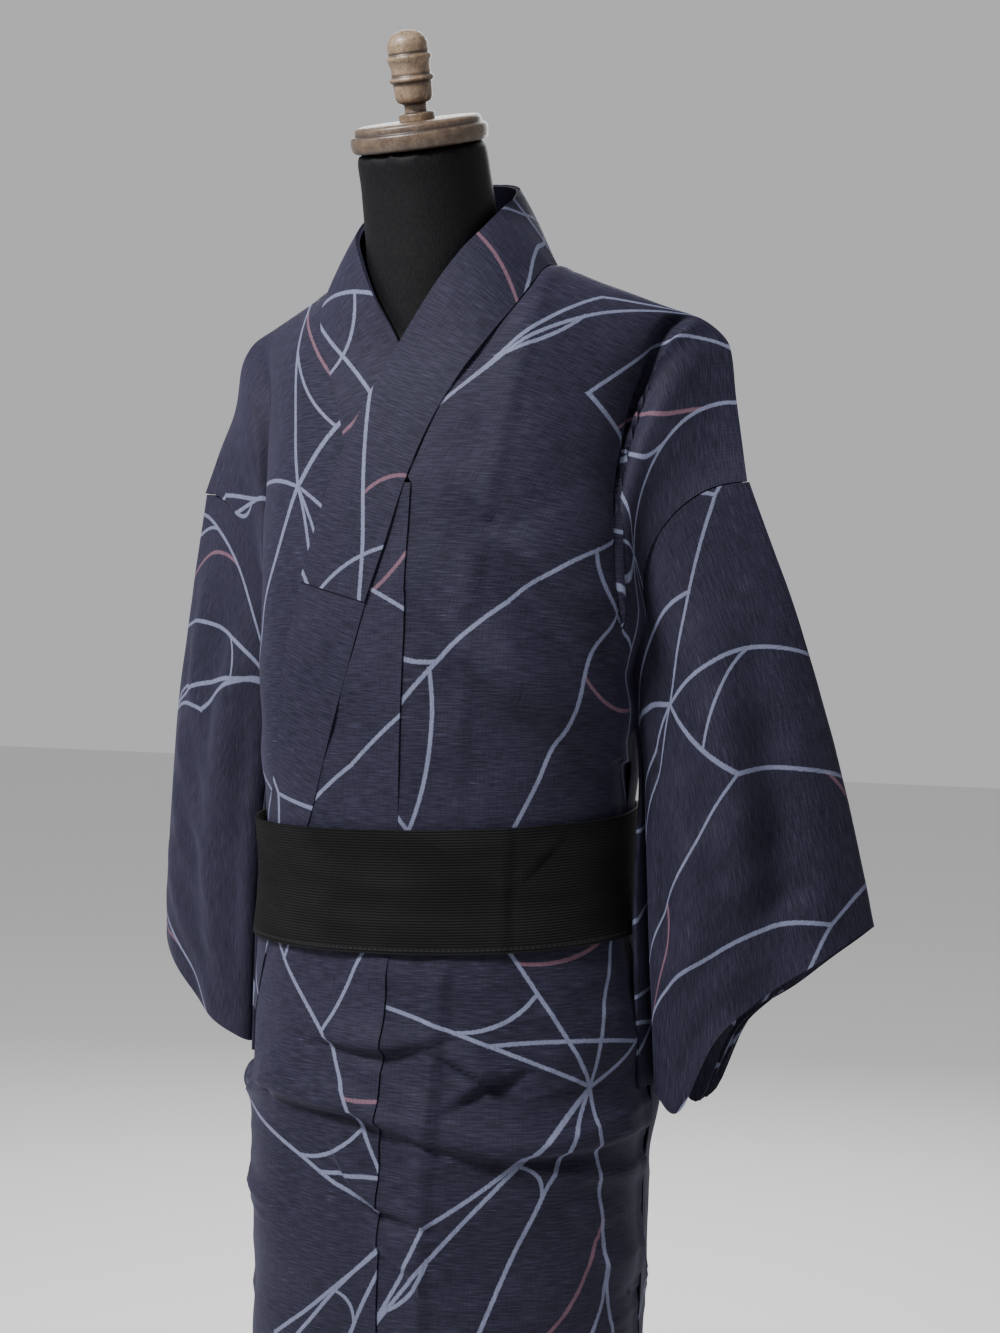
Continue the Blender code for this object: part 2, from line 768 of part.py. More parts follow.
def make_knot_piece(name, first, last, top_1, bottom_1, top_2, bottom_2, stand_off, finish):
    """One flat piece of the knot, which lies on the back of the band."""
    outer, inner = [], []
    for row in range(KNOT_ROWS + 1):
        for column in range(KNOT_COLUMNS + 1):
            share = column / KNOT_COLUMNS
            from_back = first + (last - first) * share
            low = bottom_1 + (bottom_2 - bottom_1) * share
            high = top_1 + (top_2 - top_1) * share
            angle = math.pi - from_back
            z = obi_edge_z(angle, 0.5) + low + (high - low) * row / KNOT_ROWS
            out = OBI_BACK_OUT + OBI_WALL + stand_off
            inner.append(knot_point(z, angle, out))
            outer.append(knot_point(z, angle, out + KNOT_WALL))
    return wall(name, outer, inner, grid_quads(KNOT_ROWS + 1, KNOT_COLUMNS + 1), finish)


def knot_point(z, angle, out):
    """Point outside the band's back: on the band, or straight above or below it."""
    on_band = min(max(z, obi_edge_z(angle, 0.0)), obi_edge_z(angle, 1.0))
    point = ring_out(on_band, angle, out)
    point[2] = z
    return point


# The dress form and its stand
def form_clearance(across, along):
    """How far inside the robe's skin the form lies."""
    at_shoulder = ease(along, 0.55, 0.85)
    near_neck = 1 - ease(abs(across), 0.07, 0.11)
    least = FORM_SHOULDER_CLEARANCE + (FORM_NECK_CLEARANCE - FORM_SHOULDER_CLEARANCE) * near_neck
    return FORM_BODY_CLEARANCE + (least - FORM_BODY_CLEARANCE) * at_shoulder


def form_ring(along):
    """One ring of the form: front columns, left side, back columns, right side."""
    arcs = [-arc for arc in reversed(FORM_ARCS[1:])] + list(FORM_ARCS)
    front_angle, back_angle = smooth(UNDERARM_ANGLES, FORM_ARCS[-1])
    side_shares = [k / (FORM_SIDE_POINTS + 1) for k in range(1, FORM_SIDE_POINTS + 1)]
    ring = []
    if along <= 0:
        z = UNDERARM_Z + along
        angles = [math.copysign(smooth(UNDERARM_ANGLES, abs(arc))[0], arc) for arc in arcs]
        span = math.pi - back_angle - front_angle
        angles += [front_angle + span * share for share in side_shares]
        backs = [math.pi - math.copysign(smooth(UNDERARM_ANGLES, abs(a))[1], a) for a in arcs]
        angles += backs[::-1]
        angles += [-(front_angle + span * share) for share in reversed(side_shares)]
        return [ring_out(z, angle, -FORM_BODY_CLEARANCE) for angle in angles]
    front, back = [], []
    for arc in arcs:
        inside = -form_clearance(arc, along)
        front.append(skin_out(arc, along, inside, has_neckline=False))
        back.append(skin_out(arc, 2 - along, inside, has_neckline=False))
    sides = {}
    for sign, start, end in ((1, front[-1], back[-1]), (-1, front[0], back[0])):
        level_out = FORM_SIDE_BULGE * (1 - along) ** 0.5
        waist = ring_out(UNDERARM_Z, math.pi / 2, -FORM_BODY_CLEARANCE)[0]
        under = skin_out(FORM_ARCS[-1], 0.0, -FORM_BODY_CLEARANCE)[0]
        level_out += (waist - under - FORM_SIDE_BULGE) * (1 - ease(along, 0.0, 0.8))
        sides[sign] = [
            start + (end - start) * share + [sign * level_out * math.sin(math.pi * share), 0, 0]
            for share in side_shares
        ]
    return front + sides[1] + back[::-1] + sides[-1][::-1]


def make_form(jersey):
    """The jersey-covered torso with its neck, as one smooth body without arms."""
    levels = [z - UNDERARM_Z for z in FORM_ROWS] + [degrees / 90 for degrees in ARCH_DEGREES]
    rings = [form_ring(along) for along in levels]
    sides = len(rings[0])
    points = [point for ring in rings for point in ring]
    faces = grid_quads(len(rings), sides, closed=True)
    faces.append(tuple(range(sides))[::-1])
    torso = add_object("form_torso", points, faces, jersey)
    rings = []
    for z, radius, y, tilt in FORM_NECK:
        lean = Matrix.Rotation(math.radians(tilt), 3, "X")
        ring = []
        for k in range(NECK_SIDES):
            turn = 2 * math.pi * k / NECK_SIDES
            offset = lean @ Vector((radius * math.cos(turn), radius * math.sin(turn), 0.0))
            ring.append(np.array([0.0, y, z]) + np.array(offset))
        rings.append(ring)
    neck = solid_of_rings("neck_guide", rings, jersey)
    neck.hide_render = True
    neck.display_type = "WIRE"
    join = torso.modifiers.new("neck", "BOOLEAN")
    join.operation = "UNION"
    join.object = neck


def make_neck_cap(cap_wood, finial_wood):
    """The wooden cap on the neck, and the turned finial on the cap."""
    z, _, y, _ = FORM_NECK[-1]
    lean = Matrix.Rotation(math.radians(CAP_TILT), 4, "X")
    seat = Matrix.Translation((0.0, y, z)) @ lean @ Matrix.Translation((0.0, 0.0, SEAM_GAP))
    turned("form_cap", CAP_PROFILE, CAP_SIDES, cap_wood, seat)
    rise = CAP_PROFILE[-1][0] + SEAM_GAP
    seat = seat @ Matrix.Translation((0.0, 0.0, rise))
    turned("form_finial", FINIAL_PROFILE, FINIAL_SIDES, finial_wood, seat)


def make_stand(metal, base_metal):
    """The post under the torso, and the flat round base on the floor."""
    top = FORM_BOTTOM_Z - SEAM_GAP
    bottom = BASE_HEIGHT + SEAM_GAP
    post = ((bottom, POST_RADIUS), (top, POST_RADIUS))
    turned("form_post", post, POST_SIDES, metal, Matrix.Identity(4))
    inset = BASE_RADIUS - BASE_CHAMFER
    base = (
        (0.0, inset),
        (BASE_CHAMFER / 2, BASE_RADIUS),
        (BASE_HEIGHT - BASE_CHAMFER, BASE_RADIUS),
        (BASE_HEIGHT, inset),
    )
    turned("form_base", base, BASE_SIDES, base_metal, Matrix.Identity(4))


# Build
for old in list(bpy.data.objects):
    bpy.data.objects.remove(old, do_unlink=True)

for panel_side, word in ((1, "left"), (-1, "right")):
    make_body(f"body_{word}", panel_side, material(f"body_{word}_cotton", COTTON, 0.85))
    make_okumi(f"okumi_{word}", panel_side, material(f"okumi_{word}_cotton", COTTON, 0.85))
    make_sleeve(f"sleeve_{word}", panel_side, material(f"sleeve_{word}_cotton", COTTON, 0.85))
make_collar(material("collar_cotton", COTTON, 0.8), material("over_collar_cotton", COTTON, 0.8))
make_obi(material("obi_cotton", OBI_BLACK, 0.9))
for knot_piece in KNOT_PIECES:
    make_knot_piece(*knot_piece, material(f"{knot_piece[0]}_cotton", OBI_BLACK, 0.9))
make_form(material("torso_jersey", JERSEY_BLACK, 0.9))
make_neck_cap(material("cap_wood", CAP_BROWN, 0.5), material("finial_wood", FINIAL_BROWN, 0.45))
make_stand(
    material("post_steel", STAND_BLACK, 0.45, 1.0),
    material("base_steel", STAND_BLACK, 0.5, 1.0),
)
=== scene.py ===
"""Cotton yukata robe tied with a black obi, worn on a limbless dress form.

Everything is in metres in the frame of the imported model: +Z up, +X to the wearer's left and -Y
the front, with the origin on the floor at the centre of the stand's base.
"""

import math

import bmesh
import bpy
import numpy as np
from mathutils import Matrix, Vector


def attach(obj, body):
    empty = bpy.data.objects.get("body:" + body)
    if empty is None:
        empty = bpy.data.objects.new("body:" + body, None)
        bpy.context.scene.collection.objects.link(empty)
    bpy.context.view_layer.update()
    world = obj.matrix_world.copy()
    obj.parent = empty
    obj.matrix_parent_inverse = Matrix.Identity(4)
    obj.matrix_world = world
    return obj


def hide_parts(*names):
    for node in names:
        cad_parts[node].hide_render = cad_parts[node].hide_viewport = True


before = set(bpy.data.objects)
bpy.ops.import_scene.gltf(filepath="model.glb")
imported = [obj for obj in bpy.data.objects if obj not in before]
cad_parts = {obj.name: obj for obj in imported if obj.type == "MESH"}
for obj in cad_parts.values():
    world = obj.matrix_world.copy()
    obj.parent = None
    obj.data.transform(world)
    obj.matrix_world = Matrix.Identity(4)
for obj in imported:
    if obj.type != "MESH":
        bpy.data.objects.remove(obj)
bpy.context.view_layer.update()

# Camera
# It stands to the wearer's left of the front, level with the chest, and is turned a little
# anticlockwise, as the photograph was held.
CAMERA_PLACE = Vector((0.793, -1.492, 1.190))
CAMERA_TARGET = Vector((0.038, 0.020, 1.162))
CAMERA_LENS = 56.7
CAMERA_ROLL = 0.6

camera = bpy.data.objects.new("camera", bpy.data.cameras.new("camera"))
bpy.context.collection.objects.link(camera)
camera.data.lens = CAMERA_LENS
camera.location = CAMERA_PLACE
aim = (CAMERA_TARGET - CAMERA_PLACE).to_track_quat("-Z", "Y").to_matrix().to_4x4()
roll = Matrix.Rotation(math.radians(CAMERA_ROLL), 4, "Z")
camera.matrix_world = Matrix.Translation(CAMERA_PLACE) @ aim @ roll
bpy.context.scene.camera = camera


# Floor and light
# A pale painted floor that goes on to the horizon, with soft daylight from all round, one broad
# light from above the front and a weaker one from the wearer's right.
FLOOR_PAINT = "E4E4E2"
SKY = "F4F4F7"
SKY_STRENGTH = 0.58
FLOOR_SIZE = 30.0
# name, place, aim, width in metres, watts
LIGHTS = (
    ("key_light", (-0.7, -2.1, 3.3), (0.0, 0.0, 1.10), 0.7, 225.0),
    ("side_light", (-2.6, -1.6, 2.4), (0.0, 0.0, 1.2), 1.8, 20.0),
    ("back_light", (-1.0, 2.8, 2.6), (0.0, 0.0, 1.1), 2.0, 75.0),
)


def linear(code):
    """Linear colour of an sRGB hex code."""
    values = [int(code[k : k + 2], 16) / 255 for k in (0, 2, 4)]
    return [v / 12.92 if v <= 0.04045 else ((v + 0.055) / 1.055) ** 2.4 for v in values] + [1.0]


def add(tree, kind, settings=None, **inputs):
    """A new node. Settings are its properties, and each input is a value, or a socket to link."""
    made = tree.nodes.new(kind)
    for name, value in (settings or {}).items():
        setattr(made, name, value)
    for name, value in inputs.items():
        key = int(name[1:]) if name[1:].isdigit() else name.replace("_", " ")
        socket = made.inputs[key]
        if isinstance(value, bpy.types.NodeSocket):
            tree.links.new(value, socket)
        else:
            socket.default_value = value
    return made


def new_material(name, **values):
    """A material with only a Principled shader: (material, node tree, shader)."""
    made = bpy.data.materials.new(name)
    made.use_nodes = True
    shader = made.node_tree.nodes["Principled BSDF"]
    for socket, value in values.items():
        shader.inputs[socket.replace("_", " ")].default_value = value
    return made, made.node_tree, shader


def deselect():
    """Nothing selected, so that an operator acts on the new piece alone."""
    for other in bpy.context.selected_objects:
        other.select_set(False)


painted_floor, _, _ = new_material("painted_floor", Base_Color=linear(FLOOR_PAINT), Roughness=0.75)
deselect()
bpy.ops.mesh.primitive_plane_add(size=FLOOR_SIZE, location=(0.0, 0.0, 0.0))
floor = bpy.context.object
floor.name = "floor"
floor.data.materials.append(painted_floor)

world = bpy.data.worlds.new("daylight")
world.use_nodes = True
sky = world.node_tree.nodes["Background"]
sky.inputs["Color"].default_value = linear(SKY)
sky.inputs["Strength"].default_value = SKY_STRENGTH
bpy.context.scene.world = world
for name, place, target, width, watts in LIGHTS:
    lamp = bpy.data.lights.new(name, "AREA")
    lamp.size = width
    lamp.energy = watts
    light = bpy.data.objects.new(name, lamp)
    light.location = place
    light.rotation_euler = (Vector(target) - Vector(place)).to_track_quat("-Z", "Y").to_euler()
    bpy.context.collection.objects.link(light)


# Body panels
# Each migoro is one length of indigo cotton, 36 cm wide, from the front hem over the shoulder to
# the back hem. The two are sewn together down the centre back, and the left front laps over the
# right one.
BODY_WALL = 0.0012
SEAM_GAP = 0.0003
LAP = 0.0055
LAP_FADE = (0.225, 0.330)
CHEST_FADE = (0.60, 0.92)
UNDERARM_Z = 1.133
HEM_Z = 0.10
OKUMI_TOP_Z = 1.302
# The robe's rings from hem to underarm, as if it were one smooth tube
# height, half width, front depth, back depth, shift of the centre to the wearer's left
BODY_RINGS = (
    (0.10, 0.1660, 0.1320, 0.1320, 0.004),
    (0.40, 0.1630, 0.1290, 0.1290, 0.006),
    (0.62, 0.1580, 0.1250, 0.1260, 0.009),
    (0.80, 0.1620, 0.1260, 0.1270, 0.008),
    (0.93, 0.1550, 0.1190, 0.1230, 0.005),
    (0.995, 0.1500, 0.1147, 0.1205, 0.004),
    (1.06, 0.1530, 0.1180, 0.1220, 0.002),
    (1.133, 0.1570, 0.1210, 0.1230, 0.000),
)
BOXINESS = 0.025
# The shoulder ridge of one half, out from the centre line: length along it, x, y, z
RIDGE = (
    (0.000, 0.000, -0.002, 1.479),
    (0.090, 0.090, 0.000, 1.476),
    (0.136, 0.133, 0.010, 1.461),
    (0.186, 0.178, 0.020, 1.443),
    (0.218, 0.206, 0.030, 1.432),
    (0.245, 0.224, 0.039, 1.412),
    (0.290, 0.231, 0.036, 1.370),
    (0.357, 0.246, 0.021, 1.306),
)
SHOULDER_ARC = RIDGE[-1][0]
# The back neckline, from the nape to the top of the shoulder: length along it, x, y, z
NAPE = (
    (0.000, 0.000, 0.078, 1.507),
    (0.030, 0.030, 0.070, 1.505),
    (0.055, 0.055, 0.049, 1.498),
    (0.077, 0.076, 0.026, 1.487),
    (0.087, 0.086, 0.010, 1.480),
    (0.092, 0.092, 0.000, 1.475),
)
NECK_ARC = NAPE[-1][0]
# Where the cloth under a point of the ridge meets the underarm ring
# length along the ridge, angle from the centre front, angle from the centre back
UNDERARM_ANGLES = (
    (0.000, 0.000, 0.000),
    (0.050, 0.320, 0.320),
    (0.090, 0.600, 0.600),
    (0.120, 0.800, 0.780),
    (0.170, 1.060, 1.000),
    (0.220, 1.270, 1.170),
    (0.280, 1.470, 1.330),
    (0.357, 1.650, math.pi - 1.650),
)
ARCH_POWER = 0.8
CREASE_ARC = 0.214
CREASE_WIDTH = 0.018
CREASE_DEPTH = 0.020
CAP_ARCS = (0.19, 0.31)
CAP_FRONT = 0.017
CAP_BACK = 0.034
# Seams of the left front: height, x
OKUMI_SEAM = (
    (0.10, 0.0120),
    (0.666, 0.0155),
    (0.945, 0.0190),
    (1.042, 0.0240),
    (1.139, 0.0280),
    (1.310, 0.0297),
)
COLLAR_SEAM = (
    (0.885, -0.1230),
    (0.930, -0.1090),
    (0.990, -0.0810),
    (1.049, -0.0530),
    (1.098, -0.0370),
    (1.169, -0.0144),
    (1.214, -0.0016),
    (1.244, 0.0090),
    (1.289, 0.0205),
    (1.319, 0.0305),
    (1.361, 0.0455),
    (1.400, 0.0660),
    (1.437, 0.0855),
    (1.460, 0.0935),
    (1.480, 0.0925),
)
# Folds of the left front, as lines of x and z on it with the cloth pushed out above the line and
# in below it: out, in and width in metres
FRONT_FOLDS = (
    (((-0.051, 0.882), (-0.009, 0.877), (0.022, 0.877), (0.056, 0.885)), 0.0082, 0.0018, 0.0075),
    (
        ((-0.085, 0.832), (-0.043, 0.830), (-0.003, 0.829), (0.022, 0.822), (0.064, 0.812)),
        0.0105,
        0.0024,
        0.0085,
    ),
    (((-0.024, 0.800), (-0.005, 0.774), (0.016, 0.759), (0.054, 0.751)), 0.0074, 0.0018, 0.0070),
    (((0.057, 0.880), (0.094, 0.859), (0.107, 0.863)), 0.0074, 0.0018, 0.0060),
    (((0.072, 0.840), (0.094, 0.858), (0.110, 0.862)), 0.0062, 0.0014, 0.0055),
    (((0.063, 0.811), (0.100, 0.806), (0.130, 0.806), (0.150, 0.807), (0.172, 0.812)), 0.0118, 0.0026, 0.0090),
    (((0.146, 0.765), (0.155, 0.741)), 0.0044, 0.0014, 0.0070),
    (((0.159, 0.723), (0.166, 0.691)), 0.0044, 0.0014, 0.0070),
    (((0.010, 0.735), (0.040, 0.715), (0.060, 0.690)), 0.0056, 0.0014, 0.0080),
    (((0.098, 1.262), (0.122, 1.236), (0.145, 1.205), (0.158, 1.172)), 0.0165, 0.0060, 0.0230),
    (((0.066, 1.182), (0.092, 1.158), (0.122, 1.131), (0.148, 1.100)), 0.0135, 0.0050, 0.0230),
)
# The pressed line that folding for storage left down the left front: height, x
STORAGE_CREASE = (
    (0.10, 0.044),
    (0.667, 0.051),
    (0.925, 0.061),
    (1.065, 0.072),
    (1.200, 0.077),
    (1.330, 0.092),
    (1.420, 0.102),
)
STORAGE_CREASE_OUT = 0.0042
STORAGE_CREASE_WIDTHS = (0.0090, 0.0020)
# The okumi stands a little proud beside its seam
SEAM_OUT = 0.0018
SEAM_WIDTH = 0.0080
# The tuck beside the chest, where the sleeve's cloth turns over
TUCK_ARC = 0.208
TUCK_WIDTH = 0.0055
TUCK_DEPTH = 0.0095
# The slack that stands out below the obi as a corner at the right hip
HIP_CORNER_ANGLE = -1.45
HIP_CORNER_SPREAD = 0.12
HIP_CORNER_Z = 0.816
HIP_CORNER_HEIGHT = 0.033
HIP_CORNER_OUT = 0.027
# The slack that stands out below the obi behind the left hip
HIP_SLACK_ANGLE = 2.05
HIP_SLACK_SPREAD = 0.38
HIP_SLACK_Z = 0.862
HIP_SLACK_HEIGHT = 0.050
HIP_SLACK_OUT = 0.013
OBI_LEVELS = (0.925, 0.955, 1.045, 1.085)
CRUMPLE_SIZE = 0.085
CRUMPLE_OUT = 0.0011
# The sharp crumples of the skirt under the obi: levels where they start and fade, size, depth
SKIRT_LEVELS = (0.50, 0.80)
SKIRT_CREASE_SIZE = 0.13
SKIRT_CREASE_OUT = 0.0046
# Long soft drapes of a panel that no fold crosses
DRAPE_SIZE = 0.10
DRAPE_OUT = 0.0022
SHARP_ANGLE = math.radians(50)
# Metres round the robe for one radian
GIRTH = 0.16
# "along" just behind the shoulder line
BEHIND_SHOULDER = 1.0001
# How far apart the points are that a surface's slope is read from
SLOPE_STEP = 0.002


def curve(table, at):
    """Values at some places of the smooth curve through a table, which never overshoots a row."""
    table = np.array(table)
    places, values = table[:, 0], table[:, 1:]
    steps = np.diff(places)
    slopes = np.diff(values, axis=0) / steps[:, None]
    before, after = slopes[:-1], slopes[1:]
    same_way = before * after > 0
    total = np.where(same_way, before + after, 1.0)
    middle = np.where(same_way, 2 * before * after / total, 0.0)
    tangents = np.concatenate((slopes[:1], middle, slopes[-1:]))
    at = np.clip(np.asarray(at, dtype=float), places[0], places[-1])
    i = np.clip(np.searchsorted(places, at) - 1, 0, len(places) - 2)
    step = steps[i][..., None]
    t = ((at - places[i]) / steps[i])[..., None]
    rise = (3 - 2 * t) * t * t
    bends = t * (1 - t) ** 2 * step * tangents[i] - t * t * (1 - t) * step * tangents[i + 1]
    return (1 - rise) * values[i] + rise * values[i + 1] + bends


def ease(value, start, end):
    """0 before start, 1 after end, and a soft step between them."""
    t = np.clip((value - start) / (end - start), 0.0, 1.0)
    return t * t * (3 - 2 * t)


def bump(value, centre, width):
    """A soft hump of height 1."""
    return np.exp(-0.5 * ((value - centre) / width) ** 2)


def ring_point(z, angle):
    """Points of the robe's tube at some heights, by the angle from the centre front."""
    z, angle = np.broadcast_arrays(np.asarray(z, dtype=float), angle)
    half_width, front, back, shift = np.moveaxis(curve(BODY_RINGS, z), -1, 0)
    fuller = 1 + BOXINESS * np.sin(2 * angle) ** 2
    depth = np.where(np.cos(angle) > 0, front, back)
    x = half_width * np.sin(angle) * fuller + shift
    return np.stack((x, -depth * np.cos(angle) * fuller, z), axis=-1)


def skin(across, along):
    """Points of the robe's smooth skin.

    "across" is the length from the centre line along the shoulder, plus to the wearer's left.
    "along" runs from the front hem to the back hem: metres below the underarm, then 0 to 1 up
    the front arch of the armhole, 1 to 2 down the back arch, then metres again.
    """
    across, along = np.broadcast_arrays(np.array(across, float), np.array(along, float))
    side = np.where(across >= 0, 1.0, -1.0)
    arc = np.abs(across)
    front_angle, back_angle = np.moveaxis(curve(UNDERARM_ANGLES, arc), -1, 0)
    at_front = along < 1
    angle = np.where(at_front, side * front_angle, math.pi - side * back_angle)
    lower = UNDERARM_Z + np.where(at_front, np.minimum(along, 0), np.minimum(2 - along, 0))
    base = ring_point(lower, angle)
    turn = np.clip(np.where(at_front, along, 2 - along), 0, 1) * math.pi / 2
    at_nape = (~at_front & (arc < NECK_ARC))[..., None]
    top = np.where(at_nape, curve(NAPE, arc), curve(RIDGE, arc))
    top = top * np.stack((side, np.ones_like(side), np.ones_like(side)), axis=-1)
    point = top + (base - top) * np.cos(turn)[..., None]
    height = np.sin(math.pi * np.clip(np.minimum(along, 2 - along), 0, 1))
    cap = ease(arc, *CAP_ARCS) * height
    crease = CREASE_DEPTH * bump(arc, CREASE_ARC, CREASE_WIDTH) * height
    point[..., 1] += np.where(at_front, crease - CAP_FRONT * cap, CAP_BACK * cap - 0.5 * crease)
    point[..., 2] = lower + (top[..., 2] - UNDERARM_Z) * np.sin(turn) ** ARCH_POWER
    return point


def skin_out(across, along, out):
    """Points that lie a distance outside the robe's skin."""
    across, along = np.broadcast_arrays(np.array(across, float), np.array(along, float))
    step = SLOPE_STEP
    low, high = along - step, along + step
    by_neck = np.abs(across) < NECK_ARC
    behind = by_neck & (along >= 1) & (along < 1 + step)
    before = by_neck & (along > 1 - step) & (along <= 1)
    low = np.where(behind, along, np.where(before, along - 2 * step, low))
    high = np.where(behind, along + 2 * step, np.where(before, along - 0.0001, high))
    sideways = skin(across + step, along) - skin(across - step, along)
    lengthways = skin(across, high) - skin(across, low)
    normal = np.cross(sideways, lengthways)
    normal /= np.linalg.norm(normal, axis=-1, keepdims=True)
    return skin(across, along) + normal * np.asarray(out)[..., None]


def along_at(across, z):
    """The front's "along" at some heights."""
    rise = curve(RIDGE, np.abs(across))[..., 2] - UNDERARM_Z
    share = np.clip((z - UNDERARM_Z) / rise, 0, 1)
    on_arch = np.arcsin(share ** (1 / ARCH_POWER)) / (math.pi / 2)
    return np.where(z <= UNDERARM_Z, z - UNDERARM_Z, on_arch)


def across_at(x, z):
    """The front's "across" where the skin has this x at this height."""
    x, z = np.broadcast_arrays(np.asarray(x, dtype=float), np.asarray(z, dtype=float))
    low, high = np.full(x.shape, -SHOULDER_ARC), np.full(x.shape, SHOULDER_ARC)
    for _ in range(26):
        middle = (low + high) / 2
        short = skin(middle, along_at(middle, z))[..., 0] < x
        low, high = np.where(short, middle, low), np.where(short, high, middle)
    return (low + high) / 2


def lap_out(across, along):
    """How far the left front stands off the skin, to clear the right front under it."""
    return LAP * (1 - ease(across, *LAP_FADE)) * (1 - ease(along, *CHEST_FADE))


def fold_out(x, z, line, out, dip, width):
    """A fold along a line: the cloth stands out above it, drops steeply and dips in below it."""
    line = np.array(line)
    lengths = np.linalg.norm(np.diff(line, axis=0), axis=1)
    starts = np.concatenate(([0.0], np.cumsum(lengths)))
    nearest = np.full(x.shape, 1e9)
    signed = np.zeros(x.shape)
    at = np.zeros(x.shape)
    for k, (start, end) in enumerate(zip(line[:-1], line[1:])):
        ahead = (end - start) / lengths[k]
        dx, dz = x - start[0], z - start[1]
        t = np.clip(dx * ahead[0] + dz * ahead[1], 0, lengths[k])
        away = np.hypot(dx - t * ahead[0], dz - t * ahead[1])
        above = np.where(ahead[0] * dz - ahead[1] * dx > 0, 1.0, -1.0)
        closer = away < nearest
        nearest = np.where(closer, away, nearest)
        signed = np.where(closer, away * above, signed)
        at = np.where(closer, (starts[k] + t) / starts[-1], at)
    taper = np.sin(math.pi * (0.06 + 0.88 * at)) ** 0.7
    ridge = out * bump(signed, 0.0, width * np.where(signed > 0, 1.5, 0.30))
    valley = dip * bump(signed, -width * 0.9, width * 0.5)
    return (ridge - valley) * taper


def crumple(u, v, size, seed):
    """Smooth unevenness between about -1 and 1, as a sum of waves of about the given length."""
    draw = np.random.default_rng(seed)
    total = np.zeros(np.shape(u))
    waves = 14
    for _ in range(waves):
        turn = draw.uniform(0, math.pi)
        length = size * draw.uniform(0.6, 1.7)
        phase = draw.uniform(0, 2 * math.pi)
        total += np.sin((u * math.cos(turn) + v * math.sin(turn)) * 2 * math.pi / length + phase)
    return total / math.sqrt(waves)


def skirt_creases(u, z, seed):
    """Ridges with sharp crests that run unevenly across the skirt, most of them level."""
    ridge = 1 - np.clip(np.abs(crumple(u * 0.45, z, SKIRT_CREASE_SIZE, seed)) * 1.6, 0, 1)
    finer = 1 - np.clip(np.abs(crumple(u * 0.6, z, SKIRT_CREASE_SIZE * 0.55, seed + 7)) * 1.8, 0, 1)
    patchy = ease(crumple(u, z, 0.16, seed + 9), -0.5, 0.9)
    total = ridge**1.6 + 0.5 * finer**1.6
    return SKIRT_CREASE_OUT * total * patchy * (0.25 + 0.75 * ease(z, *SKIRT_LEVELS))


def off_obi(z):
    """0 under the obi and 1 away from it."""
    return 1 - ease(z, *OBI_LEVELS[:2]) * (1 - ease(z, *OBI_LEVELS[2:]))


def front_relief(point, across, along):
    """How far the folds move points of the left front out."""
    x, z = point[..., 0], point[..., 2]
    out = np.zeros(x.shape)
    for line, ridge, dip, width in FRONT_FOLDS:
        out += fold_out(x, z, line, ridge, dip, width)
    pressed = curve(STORAGE_CREASE, z)[..., 0]
    below_obi = 1 - ease(z, 0.90, 1.10)
    width = np.where(x < pressed, *STORAGE_CREASE_WIDTHS)
    out += STORAGE_CREASE_OUT * bump(x, pressed, width) * (0.35 + 0.65 * below_obi)
    from_seam = curve(OKUMI_SEAM, z)[..., 0] - x
    out += SEAM_OUT * np.exp(-np.abs(from_seam) / SEAM_WIDTH) * (from_seam > 0) * (z < OKUMI_TOP_Z)
    out += CRUMPLE_OUT * crumple(x, z, CRUMPLE_SIZE, 3) * (1 - ease(along, 0.8, 1.0))
    out += skirt_creases(x, z, 51) * (1 - ease(z, 0.92, 1.0))
    on_arch = ease(along, 0.02, 0.25) * (1 - ease(along, 0.85, 0.98))
    out -= TUCK_DEPTH * bump(across, TUCK_ARC, TUCK_WIDTH) * on_arch
    out += TUCK_DEPTH * 0.5 * bump(across, TUCK_ARC + 2.2 * TUCK_WIDTH, TUCK_WIDTH) * on_arch
    return out * off_obi(z)


def hip_corner(point):
    """The slack that stands out as a corner below the obi at the wearer's right hip."""
    turn = np.arctan2(point[..., 0], -point[..., 1])
    turn = np.where(turn > 0, turn - 2 * math.pi, turn)
    at_side = np.exp(-np.abs(turn - HIP_CORNER_ANGLE) / HIP_CORNER_SPREAD)
    z = point[..., 2]
    level = np.clip(1 - np.abs(z - HIP_CORNER_Z) / HIP_CORNER_HEIGHT, 0, 1)
    return HIP_CORNER_OUT * at_side * level * level * (3 - 2 * level)


def hip_slack(point):
    """The slack that stands out below the obi behind the wearer's left hip."""
    turn = np.arctan2(point[..., 0], -point[..., 1])
    level = bump(point[..., 2], HIP_SLACK_Z, HIP_SLACK_HEIGHT) * off_obi(point[..., 2])
    return HIP_SLACK_OUT * bump(turn, HIP_SLACK_ANGLE, HIP_SLACK_SPREAD) * level


def side_relief(point, seed):
    """Slack of a panel that no fold crosses: long soft drapes and slight crumples."""
    x, y, z = np.moveaxis(point, -1, 0)
    girth = np.arctan2(x, -y) * GIRTH
    drapes = DRAPE_OUT * crumple(girth, z * 0.12, DRAPE_SIZE, seed) * ease(z, 0.0, 0.5)
    creases = skirt_creases(girth, z, seed + 20) * (1 - ease(z, 0.92, 1.0))
    crumples = CRUMPLE_OUT * crumple(girth, z, CRUMPLE_SIZE, seed + 1)
    return (drapes + creases + crumples) * off_obi(z)


def flat_places(grid):
    """Place of each point on the flat cloth: mean lengths along the rows and down the columns."""
    steps = np.linalg.norm(np.diff(grid, axis=1), axis=2)
    u = np.concatenate((np.zeros((len(grid), 1)), np.cumsum(steps, axis=1)), axis=1)
    steps = np.linalg.norm(np.diff(grid, axis=0), axis=2).mean(axis=1)
    v = np.concatenate(([0.0], np.cumsum(steps)))
    return np.stack((u, np.broadcast_to(v[:, None], u.shape)), axis=-1)


